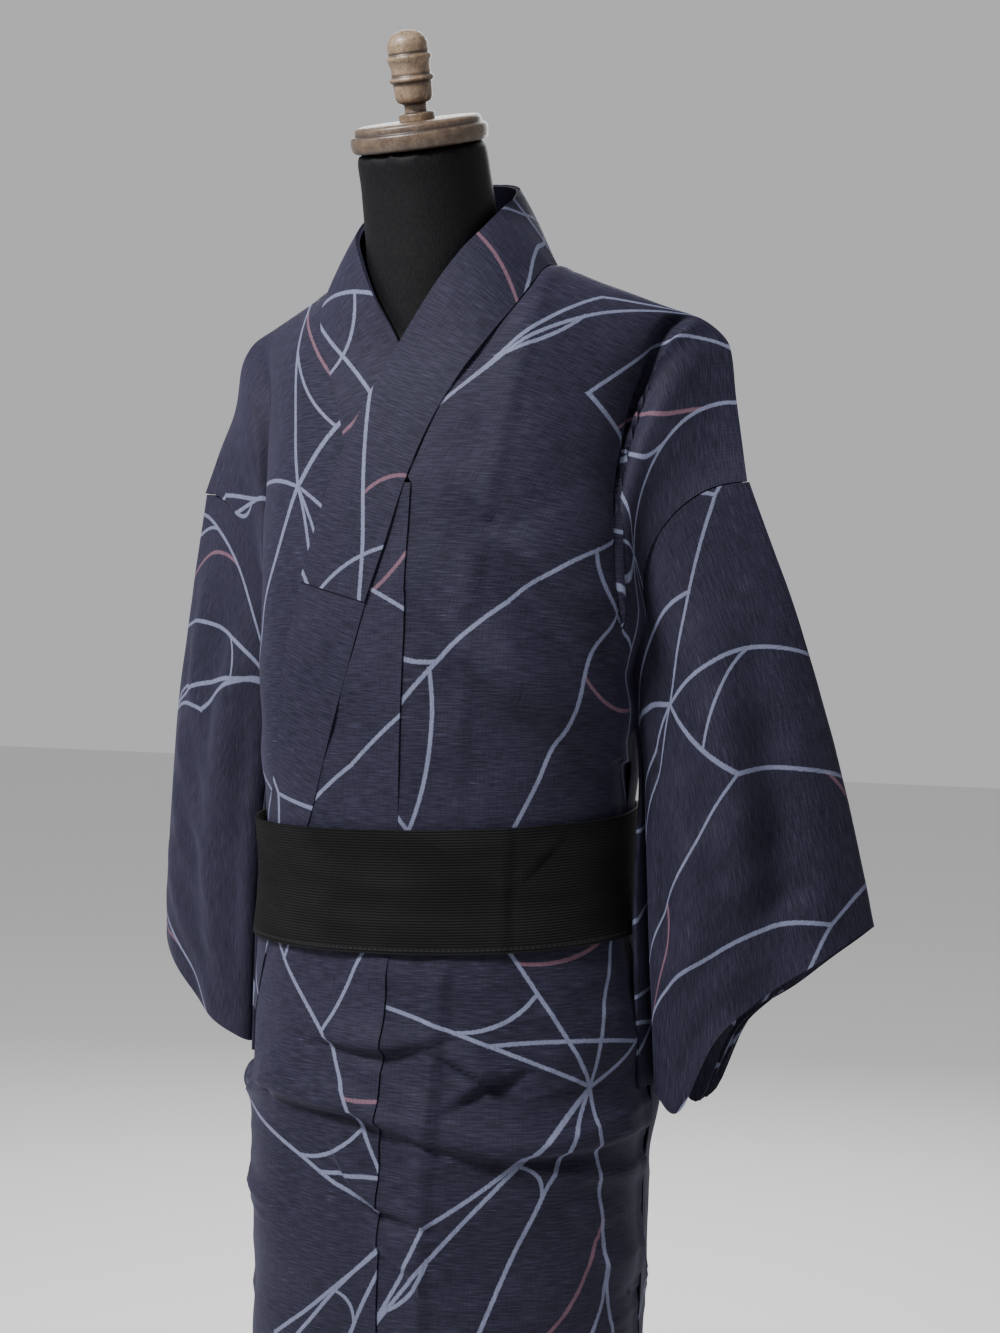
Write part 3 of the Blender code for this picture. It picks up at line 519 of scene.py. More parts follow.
def take_up(made):
    """The piece is linked, and is then the only one selected, ready for an operator."""
    bpy.context.collection.objects.link(made)
    deselect()
    made.select_set(True)
    bpy.context.view_layer.objects.active = made


def finish_off(made, modifier, finish):
    """The modifier is applied, and the piece is shaded smooth, but sharp at its edges."""
    bpy.ops.object.modifier_apply(modifier=modifier.name)
    made.data.shade_smooth()
    made.data.set_sharp_from_angle(angle=SHARP_ANGLE)
    made.data.materials.append(finish)


def cloth(name, points, patches, finish, wall, turned=False):
    """A sheet of cloth with its two faces. Each patch is a grid of point numbers and their places
    on the flat cloth, which become the UV map."""
    faces, places = [], []
    for numbers, flat in patches:
        r, c = np.meshgrid(*[np.arange(count - 1) for count in numbers.shape], indexing="ij")
        corners = [(r, c), (r, c + 1), (r + 1, c + 1), (r + 1, c)]
        if turned:
            corners = corners[::-1]
        faces.append(np.stack([numbers[k] for k in corners], axis=-1).reshape(-1, 4))
        places.append(np.stack([flat[k] for k in corners], axis=2).reshape(-1, 2))
    mesh = bpy.data.meshes.new(name)
    mesh.from_pydata(points.reshape(-1, 3).tolist(), [], np.concatenate(faces).tolist())
    layer = mesh.uv_layers.new(name="flat")
    layer.data.foreach_set("uv", np.concatenate(places).reshape(-1).astype(np.float32))
    made = bpy.data.objects.new(name, mesh)
    take_up(made)
    thick = made.modifiers.new("wall", "SOLIDIFY")
    thick.thickness = wall
    thick.offset = -1
    finish_off(made, thick, finish)
    return made


def numbered(grid, closed=False, first=0):
    """Numbers of a grid's points. A closed one ends with its first column again."""
    numbers = first + np.arange(grid.shape[0] * grid.shape[1]).reshape(grid.shape[:2])
    return np.concatenate((numbers, numbers[:, :1]), axis=1) if closed else numbers


def declare(piece, slot, *nodes):
    """The piece rides on the one body and stands for the CAD nodes. The slot is not used."""
    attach(piece, "root")
    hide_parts(*nodes)


# The web of lines that is dyed into the cotton, as one repeat of 34 by 68 cm: its meeting points,
# and each line between two of them with how far it bows out. A meeting point outside the repeat
# belongs to the next one.
REPEAT = (0.34, 0.68)
MEETINGS = {
    "a": (0.090, 0.115),
    "b": (0.258, 0.362),
    "c": (0.052, 0.548),
    "d": (0.215, 0.012),
    "e": (0.312, 0.190),
    "f": (0.165, 0.255),
    "g": (0.016, 0.308),
    "h": (0.152, 0.466),
    "i": (0.280, 0.572),
    "j": (0.172, 0.616),
}
# from, to, repeats across and along to the second point, bow in metres
SPOKES = (
    ("a", "f", 0, 0, 0.003),
    ("a", "d", 0, 0, -0.004),
    ("a", "e", 0, 0, 0.009),
    ("a", "g", 0, 0, -0.007),
    ("a", "j", 0, -1, 0.004),
    ("a", "e", -1, 0, 0.003),
    ("b", "f", 0, 0, 0.004),
    ("b", "e", 0, 0, -0.005),
    ("b", "h", 0, 0, -0.005),
    ("b", "i", 0, 0, 0.008),
    ("b", "g", 1, 0, 0.004),
    ("c", "h", 0, 0, 0.004),
    ("c", "g", 0, 0, 0.009),
    ("c", "j", 0, 0, 0.005),
    ("c", "i", -1, 0, -0.003),
    ("c", "a", 0, 1, -0.008),
    ("i", "d", 0, 1, 0.004),
    ("b", "c", 1, 0, 0.012),
    ("c", "f", 0, 0, -0.010),
    ("i", "a", 0, 1, -0.010),
)
# Arcs between two spokes: first spoke and share along it, second spoke and share, bow, colour
ARCS = (
    (0, 0.50, 2, 0.45, -0.008, "pale"),
    (0, 0.66, 3, 0.60, 0.009, "rose"),
    (6, 0.50, 8, 0.55, 0.008, "pale"),
    (8, 0.60, 9, 0.44, -0.010, "pale"),
    (7, 0.52, 10, 0.60, 0.008, "pale"),
    (11, 0.52, 12, 0.40, 0.009, "pale"),
    (13, 0.50, 15, 0.42, 0.009, "pale"),
    (13, 0.72, 15, 0.60, 0.010, "rose"),
    (4, 0.45, 1, 0.50, 0.008, "pale"),
    (2, 0.34, 5, 0.40, -0.005, "pale"),
    (16, 0.45, 19, 0.40, 0.007, "pale"),
    (17, 0.30, 9, 0.40, 0.009, "pale"),
    (18, 0.42, 12, 0.62, 0.010, "rose"),
)
LINE_HALF_WIDTH = 0.00155
LINE_SOFTNESS = 0.00045
LINE_RAGGED = 0.0012
COTTON_DARK = "12111F"
COTTON_LIT = "1A1827"
WARP_DARK = "0B0B14"
WEFT_LIT = "2E2C3E"
BLOOM = "9C9AC2"
SLUB_PALE = "54526A"
SLUB_SHARE = 0.32
LINE_PALE = "63677D"
LINE_ROSE = "5E4450"


def on_line(start, end, bow, share):
    """Point at a share of the way along a bowed line."""
    start, end = np.array(start), np.array(end)
    ahead = (end - start) / np.linalg.norm(end - start)
    aside = np.array((-ahead[1], ahead[0]))
    return start + (end - start) * share + aside * bow * 4 * share * (1 - share)


def web_lines():
    """Every line of one repeat: start, end, bow and colour."""
    lines = []
    for first, second, across, along, bow in SPOKES:
        u, v = MEETINGS[second]
        end = (u + across * REPEAT[0], v + along * REPEAT[1])
        lines.append((MEETINGS[first], end, bow, "pale"))
    for first, share_1, second, share_2, bow, colour in ARCS:
        start = on_line(*lines[first][:3], share_1)
        lines.append((start, on_line(*lines[second][:3], share_2), bow, colour))
    return lines


def line_group():
    """Node group: distance of a place on the flat cloth from one bowed line of the repeat."""
    group = bpy.data.node_groups.new("dyed_line", "ShaderNodeTree")
    for name in ("Place", "Middle", "Ahead", "Aside"):
        group.interface.new_socket(name, in_out="INPUT", socket_type="NodeSocketVector")
    for name in ("Bow", "Half"):
        group.interface.new_socket(name, in_out="INPUT", socket_type="NodeSocketFloat")
    group.interface.new_socket("Distance", in_out="OUTPUT", socket_type="NodeSocketFloat")
    given = add(group, "NodeGroupInput").outputs

    def vector(operation, first, second, *more):
        inputs = {f"i{k}": value for k, value in enumerate((first, second, *more))}
        return add(group, "ShaderNodeVectorMath", {"operation": operation}, **inputs).outputs

    def number(operation, *values):
        inputs = {f"i{k}": value for k, value in enumerate(values)}
        return add(group, "ShaderNodeMath", {"operation": operation}, **inputs).outputs[0]

    away = vector("SUBTRACT", given["Place"], given["Middle"])[0]
    half_u, half_v = REPEAT[0] / 2, REPEAT[1] / 2
    away = vector("WRAP", away, (half_u, half_v, 1.0), (-half_u, -half_v, -1.0))[0]
    along = vector("DOT_PRODUCT", away, given["Ahead"])[1]
    aside = vector("DOT_PRODUCT", away, given["Aside"])[1]
    bow_left = number("MULTIPLY_ADD", number("MULTIPLY", along, along), given["Bow"], aside)
    beside = number("ABSOLUTE", number("SUBTRACT", bow_left, given["Bow"]))
    beyond = number("MULTIPLY", number("SUBTRACT", number("ABSOLUTE", along), 1.0), given["Half"])
    add(group, "NodeGroupOutput", Distance=number("MAXIMUM", beside, beyond))
    return group


dyed_line = line_group()


def web_distance(tree, place, colour):
    """Distance from the nearest line of a colour, as a socket."""
    nearest = None
    for start, end, bow, line_colour in web_lines():
        if line_colour != colour:
            continue
        start, end = Vector((*start, 0.0)), Vector((*end, 0.0))
        half = (end - start).length / 2
        ahead = (end - start).normalized()
        aside = Vector((-ahead.y, ahead.x, 0.0))
        one = add(
            tree,
            "ShaderNodeGroup",
            {"node_tree": dyed_line},
            Place=place,
            Middle=(start + end) / 2,
            Ahead=ahead / half,
            Aside=aside,
            Bow=bow,
            Half=half,
        ).outputs[0]
        if nearest is None:
            nearest = one
        else:
            nearest = add(tree, "ShaderNodeMath", {"operation": "MINIMUM"}, i0=nearest, i1=one).outputs[0]
    return nearest


def noise(tree, place, scale, detail=2.0, roughness=0.5):
    """Noise on a place that is stretched by a scale for each axis, in patches per metre."""
    stretched = add(tree, "ShaderNodeMapping", Vector=place, Scale=scale).outputs[0]
    made = add(tree, "ShaderNodeTexNoise", Vector=stretched, Scale=1.0, Detail=detail, Roughness=roughness)
    return made.outputs[0]


def lay(tree, below, code, value, low, high, start=0.0, end=1.0):
    """A colour laid over the one below: as much as "start" up to a low value, and as much as "end"
    from a high one."""
    soft = {"interpolation_type": "SMOOTHSTEP"}
    much = add(tree, "ShaderNodeMapRange", soft, Value=value, i1=low, i2=high, i3=start, i4=end)
    colours = {"data_type": "RGBA"}
    laid = add(tree, "ShaderNodeMix", colours, i0=much.outputs[0], i6=below, i7=linear(code))
    return laid.outputs[2]


# Yukata cotton, piece-dyed indigo and plain woven with slubbed weft. It is matt with a slight
# bloom, and thick places of the weft catch the light as short pale flecks across the cloth.
def woven_cotton(name):
    made, tree, shader = new_material(
        name, Roughness=0.72, Specular_IOR_Level=0.13, Sheen_Weight=0.10, Sheen_Roughness=0.45
    )
    shader.inputs["Sheen Tint"].default_value = linear(BLOOM)
    place = add(tree, "ShaderNodeUVMap", {"uv_map": "flat"}).outputs[0]
    cloudy = noise(tree, place, (9.0, 9.0, 1.0))
    warp = noise(tree, place, (1000.0, 60.0, 1.0), detail=1.0)
    weft = noise(tree, place, (70.0, 1000.0, 1.0), detail=1.0)
    sparse = noise(tree, place, (22.0, 30.0, 1.0))
    ragged = noise(tree, place, (500.0, 500.0, 1.0))
    soft = {"interpolation_type": "SMOOTHSTEP"}
    slubs = add(tree, "ShaderNodeMapRange", soft, Value=sparse, i1=0.46, i2=0.64, i4=SLUB_SHARE)
    colour = lay(tree, linear(COTTON_DARK), COTTON_LIT, cloudy, 0.3, 0.7)
    colour = lay(tree, colour, WARP_DARK, warp, 0.38, 0.66, end=0.55)
    colour = lay(tree, colour, WEFT_LIT, weft, 0.36, 0.68, end=0.40)
    colour = lay(tree, colour, SLUB_PALE, weft, 0.66, 0.80, end=slubs.outputs[0])
    low, high = LINE_HALF_WIDTH - LINE_SOFTNESS, LINE_HALF_WIDTH + LINE_SOFTNESS
    for tone, code in (("rose", LINE_ROSE), ("pale", LINE_PALE)):
        centred = add(tree, "ShaderNodeMath", {"operation": "SUBTRACT"}, i0=ragged, i1=0.5)
        edge = add(
            tree,
            "ShaderNodeMath",
            {"operation": "MULTIPLY_ADD"},
            i0=centred.outputs[0],
            i1=LINE_RAGGED,
            i2=web_distance(tree, place, tone),
        )
        dyed = add(tree, "ShaderNodeMapRange", soft, Value=warp, i1=0.30, i2=0.70, i3=0.69, i4=0.92)
        colour = lay(tree, colour, code, edge.outputs[0], low, high, dyed.outputs[0], 0.0)
    tree.links.new(colour, shader.inputs["Base Color"])
    height = add(tree, "ShaderNodeMath", {"operation": "ADD"}, i0=weft, i1=warp).outputs[0]
    relief = add(tree, "ShaderNodeBump", Strength=0.35, Distance=0.0006, Height=height)
    tree.links.new(relief.outputs[0], shader.inputs["Normal"])
    return made


indigo_cotton = woven_cotton("indigo_cotton")

# Rows of the panels, finer where the folds are: first and last height, and rows between them
ROW_BANDS = ((HEM_Z, 0.62, 65), (0.62, 0.93, 125), (0.93, 1.05, 20), (1.05, UNDERARM_Z, 26))
lower = np.concatenate([np.linspace(*band, endpoint=False) for band in ROW_BANDS]) - UNDERARM_Z
front_rows = np.concatenate((lower, np.linspace(0.0, 1.0, 96)))
lower = np.linspace(HEM_Z - UNDERARM_Z, 0.0, 120)[:-1]
rear_rows = np.concatenate((lower, np.linspace(0.0, 1.0, 60)))
COLUMNS = 80
NECK_COLUMNS = 18


def row_height(along):
    """Height of a front row near the centre line."""
    rise = RIDGE[0][3] - UNDERARM_Z
    turn = np.clip(along, 0, 1) * math.pi / 2
    return UNDERARM_Z + np.where(along <= 0, along, rise * np.sin(turn) ** ARCH_POWER)


def body_inner_edge(along):
    """ "across" of the front panel's inner edge: the okumi seam, and above it the collar seam."""
    z = row_height(along)
    seam = np.where(z < OKUMI_TOP_Z, curve(OKUMI_SEAM, z)[..., 0], curve(COLLAR_SEAM, z)[..., 0])
    return np.where(along >= 1, NECK_ARC, np.minimum(across_at(seam, z), NECK_ARC))


def body_panel(name, side, place):
    """One body panel: the front and the back, which share the row along the shoulder."""
    share = np.linspace(0, 1, COLUMNS + 1)
    start = body_inner_edge(front_rows) + SEAM_GAP / 2
    end = SHOULDER_ARC - np.where(front_rows <= 0, 2, 1) * SEAM_GAP
    across = start[:, None] + (end - start)[:, None] * share
    along = np.broadcast_to(front_rows[:, None], across.shape)
    smooth_front = skin(side * across, along)
    if side > 0:
        relief = front_relief(smooth_front, across, along)
        relief = relief + lap_out(across, along) + hip_slack(smooth_front)
    else:
        relief = side_relief(smooth_front, 21) * (1 - ease(smooth_front[..., 0], -0.10, 0.0))
        relief += hip_corner(smooth_front)
    front = skin_out(side * across, along, relief)
    nape = NECK_ARC * np.sin(math.pi / 2 * np.arange(NECK_COLUMNS) / NECK_COLUMNS)
    nape[0] = SEAM_GAP / 2
    back_rows = 2 - rear_rows[::-1][1:]
    start = NECK_ARC + SEAM_GAP / 2
    end = SHOULDER_ARC - np.where(back_rows >= 2, 2, 1) * SEAM_GAP
    across = start + (end - start)[:, None] * share
    across = np.concatenate((np.broadcast_to(nape, (len(back_rows), NECK_COLUMNS)), across), axis=1)
    along = np.broadcast_to(back_rows[:, None], across.shape)
    point = skin(side * across, along)
    shoulder_row = np.concatenate((skin(side * nape, BEHIND_SHOULDER), smooth_front[-1]))
    smooth_back = np.concatenate((shoulder_row[None], point))
    relief = side_relief(point, 33) * ease(along, 1.0, 1.15)
    relief += hip_corner(point) if side < 0 else hip_slack(point)
    back = skin_out(side * across, along, relief)
    nape_row = skin_out(side * nape, BEHIND_SHOULDER, 0.0)
    points = np.concatenate((front.reshape(-1, 3), nape_row, back.reshape(-1, 3)))
    front_numbers = numbered(front)
    nape_numbers = front_numbers.size + np.arange(NECK_COLUMNS)
    top = np.concatenate((nape_numbers, front_numbers[-1]))[None]
    back_numbers = np.concatenate((top, numbered(back, first=front_numbers.size + NECK_COLUMNS)))
    flat_front = flat_places(smooth_front[:, ::-1])[:, ::-1]
    flat_back = flat_places(smooth_back[:, ::-1])[:, ::-1]
    flat_back[..., 1] += flat_front[-1, 0, 1]
    patches = [(front_numbers, flat_front + place), (back_numbers, flat_back + place)]
    return cloth(name, points, patches, indigo_cotton, BODY_WALL, turned=side < 0)


for side, word, place in ((1, "left", (0.02, 0.045)), (-1, "right", (0.21, 0.05))):
    panel = body_panel(f"body_panel_{word}", side, place)
    declare(panel, "indigo_cotton", f"body_{word}")


# Overlap panels
# Each okumi is a narrow length of the same cotton, sewn to the front edge of a body panel. The
# collar is sewn to its slanting upper edge, and its lower edge hangs free.
COLLAR_END_Z = 0.885
FRONT_EDGE = (
    (0.10, -0.1350),
    (0.62, -0.1350),
    (0.80, -0.1310),
    (0.885, -0.1232),
)
OKUMI_COLUMNS = 56


def front_point(x, z, side, out, relief=True):
    """Points on one front. x is as on the left front, and the right one is its mirror image."""
    across = side * across_at(x, z)
    along = along_at(across, z)
    if side > 0:
        out = out + lap_out(across, along)
        if relief:
            out = out + front_relief(skin(across, along), across, along)
    return skin_out(across, along, out)


for side, word, place in ((1, "left", (0.11, 0.15)), (-1, "right", (0.30, 0.52))):
    levels = row_height(front_rows)
    levels = levels[levels < OKUMI_TOP_Z]
    beside_collar = levels >= COLLAR_END_Z
    free = np.where(beside_collar, curve(COLLAR_SEAM, levels)[:, 0], curve(FRONT_EDGE, levels)[:, 0])
    start = curve(OKUMI_SEAM, levels)[:, 0] - SEAM_GAP / 2
    end = free + SEAM_GAP / 2
    x = start[:, None] + (end - start)[:, None] * np.linspace(0, 1, OKUMI_COLUMNS + 1)
    z = np.broadcast_to(levels[:, None], x.shape)
    grid = front_point(x, z, side, 0.0)
    patch = (numbered(grid), flat_places(front_point(x, z, side, 0.0, relief=False)) + place)
    okumi = cloth(f"okumi_panel_{word}", grid, [patch], indigo_cotton, BODY_WALL, turned=side > 0)
    declare(okumi, "indigo_cotton", f"okumi_{word}")


# Collar
# The eri is one long strip of the same cotton, folded to a 5.8 cm band and sewn on from one front
# edge round the neck to the other. It stands a little off the neck at the back.
COLLAR_WALL = 0.0024
COLLAR_PROUD = 0.0010
COLLAR_WIDTH = 0.058
COLLAR_FREE_EDGE = (
    (0.885, -0.1500),
    (0.930, -0.1420),
    (0.990, -0.1220),
    (1.055, -0.1010),
    (1.085, -0.0935),
    (1.134, -0.0860),
    (1.182, -0.0780),
    (1.224, -0.0650),
    (1.307, -0.0380),
    (1.334, -0.0290),
    (1.361, -0.0180),
    (1.388, -0.0050),
    (1.404, 0.0000),
)
# The free edge round the neck, from the nape to the crossing: share of the way, x, y, z
COLLAR_NECK_EDGE = (
    (0.00, 0.0000, 0.0480, 1.556),
    (0.12, 0.0210, 0.0440, 1.554),
    (0.25, 0.0400, 0.0310, 1.549),
    (0.38, 0.0545, 0.0110, 1.540),
    (0.50, 0.0600, -0.0140, 1.527),
    (0.62, 0.0595, -0.0410, 1.510),
    (0.75, 0.0465, -0.0645, 1.485),
    (0.88, 0.0250, -0.0765, 1.447),
    (1.00, 0.0000, -0.0780, 1.406),
)
# The free edge that goes with each row of the collar: degrees of the arch, share of the way
COLLAR_NECK_SHARES = (
    (42.0, 1.000),
    (51.0, 0.880),
    (60.0, 0.760),
    (69.0, 0.670),
    (78.0, 0.590),
    (84.0, 0.545),
    (90.0, 0.500),
)
COLLAR_NECK_BULGE = 0.0015
COLLAR_CROSSING_LAP = 0.0085
COLLAR_COLUMNS = 12
NAPE_COLUMNS = 4
# Rows of the strip's guide: heights below the underarm, and degrees of the arch above it
COLLAR_LEVELS = (0.885, 0.93, 0.97, 1.01, 1.05, 1.09, 1.133)
COLLAR_ARCH = (8.0, 16.0, 24.15, 33.0, 42.0, 51.0, 60.0, 69.0, 78.0, 84.0)


def collar_neck_row(side, seam, share, columns):
    """One row across the standing collar, by its seam point and its share of the free edge."""
    x, y, z = curve(COLLAR_NECK_EDGE, share)
    lap = COLLAR_CROSSING_LAP * ease(share, 0.72, 1.0) if side > 0 else 0.0
    free = np.array([side * x, y - lap, z])
    to_free = free - seam
    away = np.cross(to_free, np.cross(np.array([seam[0], seam[1] + 0.02, 0.0]), to_free))
    away = away / max(np.linalg.norm(away), 1e-9)
    part = np.linspace(0, 1, columns + 1)[:, None]
    return seam + to_free * part + away * COLLAR_NECK_BULGE * 4 * part * (1 - part)


def collar_row(side, along):
    """One row across the collar on the chest, from its seam to its free edge."""
    z = float(row_height(along))
    slope = float(curve(COLLAR_SEAM, z + 0.01)[0] - curve(COLLAR_SEAM, z - 0.01)[0]) / 0.02
    free_z = z + COLLAR_WIDTH * slope / math.hypot(1, slope)
    seam_x = float(curve(COLLAR_SEAM, z)[0]) - SEAM_GAP / 2
    across = side * (float(body_inner_edge(along)) - SEAM_GAP / 2)
    if z < OKUMI_TOP_Z:
        seam = front_point(seam_x, z, side, COLLAR_PROUD, relief=False)
    else:
        lap = lap_out(across, along) if side > 0 else 0.0
        seam = skin_out(across, along, COLLAR_PROUD + lap)
    if along * 90 >= COLLAR_NECK_SHARES[0][0] - 0.1:
        return collar_neck_row(side, seam, curve(COLLAR_NECK_SHARES, along * 90)[0], COLLAR_COLUMNS)
    share = np.linspace(0, 1, COLLAR_COLUMNS + 1)
    free_x = float(curve(COLLAR_FREE_EDGE, free_z)[0])
    x, level = seam_x + (free_x - seam_x) * share, z + (free_z - z) * share
    row = front_point(x, level, side, COLLAR_PROUD, relief=False)
    row[0] = seam
    return row


def collar_half(side):
    """The collar's guide rows from its lower end to the one before the nape."""
    alongs = [z - UNDERARM_Z for z in COLLAR_LEVELS] + [degrees / 90 for degrees in COLLAR_ARCH]
    rows = [collar_row(side, along) for along in alongs]
    nape = NECK_ARC * np.sin(math.pi / 2 * np.arange(NAPE_COLUMNS) / NAPE_COLUMNS)
    arcs = [NECK_ARC] + list(nape[::-1])
    shares = np.linspace(COLLAR_NECK_SHARES[-1][1], 0.0, len(arcs))
    for arc, share in zip(arcs[:-1], shares[:-1]):
        seam = skin_out(side * (arc - SEAM_GAP / 2), BEHIND_SHOULDER, COLLAR_PROUD)
        rows.append(collar_neck_row(side, seam, share, COLLAR_COLUMNS))
    return rows


def finer(rows, times):
    """More rows along smooth curves through the given ones."""
    rows = np.array(rows)
    lengths = np.linalg.norm(np.diff(rows, axis=0), axis=2).mean(axis=1)
    places = np.concatenate(([0.0], np.cumsum(lengths)))
    table = np.concatenate((places[:, None], rows.reshape(len(rows), -1)), axis=1)
    at = np.concatenate([np.linspace(a, b, times, endpoint=False) for a, b in zip(places, places[1:])])
    at = np.append(at, places[-1])
    return curve(table, at).reshape(len(at), rows.shape[1], 3)


nape_row = collar_neck_row(1, skin_out(0.0, BEHIND_SHOULDER, COLLAR_PROUD), 0.0, COLLAR_COLUMNS)
collar_grid = finer(collar_half(-1) + [nape_row] + collar_half(1)[::-1], 8)
collar_flat = flat_places(collar_grid) + (0.27, 0.10)
patch = (numbered(collar_grid), collar_flat)
collar = cloth("collar_strip", collar_grid, [patch], indigo_cotton, COLLAR_WALL)
declare(collar, "indigo_cotton", "collar")

# Over-collar
# The kake-eri is a short second strip over the middle of the collar, which takes the wear.
OVER_COLLAR_WALL = 0.0010
OVER_COLLAR_GAP = 0.0005
OVER_COLLAR_END_Z = 1.21


def grid_normals(grid, closed=False):
    """Unit normals of a grid of points."""
    if closed:
        sideways = np.roll(grid, -1, axis=1) - np.roll(grid, 1, axis=1)
    else:
        sideways = np.gradient(grid, axis=1)
    normals = np.cross(sideways, np.gradient(grid, axis=0))
    return normals / np.linalg.norm(normals, axis=2, keepdims=True)


ends = [row for row in range(len(collar_grid)) if collar_grid[row, 0, 2] >= OVER_COLLAR_END_Z]
grid = collar_grid + grid_normals(collar_grid) * (OVER_COLLAR_GAP + OVER_COLLAR_WALL)
grid = grid[ends[0] : ends[-1] + 1]
patch = (numbered(grid), collar_flat[ends[0] : ends[-1] + 1] + (0.13, 0.48))
over_collar = cloth("over_collar_strip", grid, [patch], indigo_cotton, OVER_COLLAR_WALL)
declare(over_collar, "indigo_cotton", "over_collar")


# Sleeves
# Each sleeve is one length of the same cotton, folded at its top edge and sewn to the armhole. It
# hangs slack, with a slanted cuff.
SLEEVE_OUTER_EDGE = (
    (0.00, 0.2465, 0.0210, 1.3055),
    (0.35, 0.2820, 0.0450, 1.1900),
    (0.70, 0.3120, 0.0700, 1.0610),
    (1.00, 0.3290, 0.0860, 0.9650),
)
SLEEVE_INNER_EDGE = (
    (0.00, 0.1580, 0.0097, 1.1330),
    (0.30, 0.1740, 0.0080, 1.0600),
    (0.60, 0.1810, 0.0060, 0.9600),
    (1.00, 0.1860, 0.0080, 0.8520),
)
# How far each sleeve's cuff sags, and where between its inner and outer edge: depth, place, width
LEFT_SAG = (0.042, 0.14, 0.09)
RIGHT_SAG = (0.032, 0.55, 0.35)
SLEEVE_SECTION_WIDTH = 0.175
# The hanging sleeve's section, from its outer fold down the front face, through the pleats beside
# the body and the tuck inside the sleeve, and out along the back face
# metres in from the outer fold, metres to the back, "along" of the armhole above it
SLEEVE_SECTION = (
    (0.000, 0.000, 1.00),
    (0.030, -0.021, 0.80),
    (0.070, -0.030, 0.56),
    (0.115, -0.029, 0.36),
    (0.155, -0.022, 0.18),
    (0.175, -0.010, 0.06),
    (0.176, 0.008, 0.04),
    (0.180, 0.026, 0.03),
    (0.185, 0.008, 0.02),
    (0.188, -0.012, 0.01),
    (0.193, 0.004, 0.00),
    (0.192, 0.026, -0.01),
    (0.178, 0.030, -0.015),
    (0.120, 0.006, -0.020),
    (0.050, -0.002, -0.025),
    (0.044, 0.004, -0.030),
    (0.110, 0.016, -0.035),
    (0.158, 0.030, -0.040),
    (0.120, 0.025, -0.045),
    (0.074, 0.017, -0.050),
    (0.070, 0.023, -0.052),
    (0.115, 0.033, -0.055),
    (0.168, 0.048, -0.060),
    (0.125, 0.046, -0.36),
    (0.075, 0.044, -0.62),
    (0.028, 0.028, -0.82),
)
SLEEVE_FOLD_OUT = 0.0042
SLEEVE_FOLD_SIZE = 0.075
SLEEVE_CRUMPLE_OUT = CRUMPLE_OUT * 1.3
SLEEVE_CRUMPLE_SIZE = 0.06
SLEEVE_ROWS = 80
SLEEVE_COLUMNS = 300


def armhole_point(along):
    """Points of the left sleeve's first ring, just clear of the body panel's edge."""
    edge = skin(SHOULDER_ARC, along)
    sideways = edge - skin(SHOULDER_ARC - 0.004, along)
    at_top = np.sin(math.pi * along / 2)[..., None]
    clear = sideways / np.linalg.norm(sideways, axis=-1, keepdims=True) * SEAM_GAP
    return edge + clear * at_top + np.array([0.0014, 0.0, 0.0004]) * (1 - at_top)


def section(turn):
    """The hanging sleeve's section: metres in from its outer fold, towards the back, and the part
    of the armhole that this cloth comes from, as "along"."""
    table = np.array(SLEEVE_SECTION)
    table = np.concatenate((table[-2:], table, table[:3]))
    count = len(SLEEVE_SECTION)
    i = np.floor(turn).astype(int)
    t = (turn - i)[..., None]
    before, start, end, after = [table[i % count + k] for k in (1, 2, 3, 4)]
    bends = (end - before) * t + (2 * before - 5 * start + 4 * end - after) * t**2
    bends += (3 * start - before - 3 * end + after) * t**3
    return start + bends / 2


def sleeve_point(share, turn, sag):
    """Points of a left sleeve: its share of the way to the cuff, and the turn round it."""
    outer_edge = curve(SLEEVE_OUTER_EDGE, share)
    inner_edge = curve(SLEEVE_INNER_EDGE, share)
    inwards, back, _ = np.moveaxis(section(turn), -1, 0)
    knots = np.arange(len(SLEEVE_SECTION) + 1)
    along = np.interp(turn, knots, [row[2] for row in SLEEVE_SECTION] + [SLEEVE_SECTION[0][2] - 2])
    along = along % 2
    reach = 1 - inwards / SLEEVE_SECTION_WIDTH
    carried_reach = ((1 - np.cos(math.pi * along)) / 2)[..., None]
    carried = armhole_point(along) + (inner_edge - armhole_point(np.zeros(1))) * (1 - carried_reach)
    carried = carried + (outer_edge - armhole_point(np.ones(1))) * carried_reach
    hanging = inner_edge + (outer_edge - inner_edge) * reach[..., None]
    hanging[..., 1] += back
    depth, middle, width = sag
    hanging[..., 2] -= depth * share**4 * bump(reach, middle, width)
    loose = ease(share, 0.0, 0.55)[..., None]
    return carried * (1 - loose) + hanging * loose


def sleeve_relief(share, turn, seed):
    """Soft folds of the hanging sleeve, down its length, with slight crumples."""
    inwards = section(turn)[..., 0]
    folds = SLEEVE_FOLD_OUT * crumple(inwards, share * 0.10, SLEEVE_FOLD_SIZE, seed)
    slack = SLEEVE_CRUMPLE_OUT * crumple(inwards, share * 0.34, SLEEVE_CRUMPLE_SIZE, seed + 1)
    on_faces = ease(inwards, 0.004, 0.040) * (1 - ease(inwards, 0.150, 0.172))
    return (folds + slack) * ease(share, 0.03, 0.35) * (0.10 + 0.90 * on_faces)


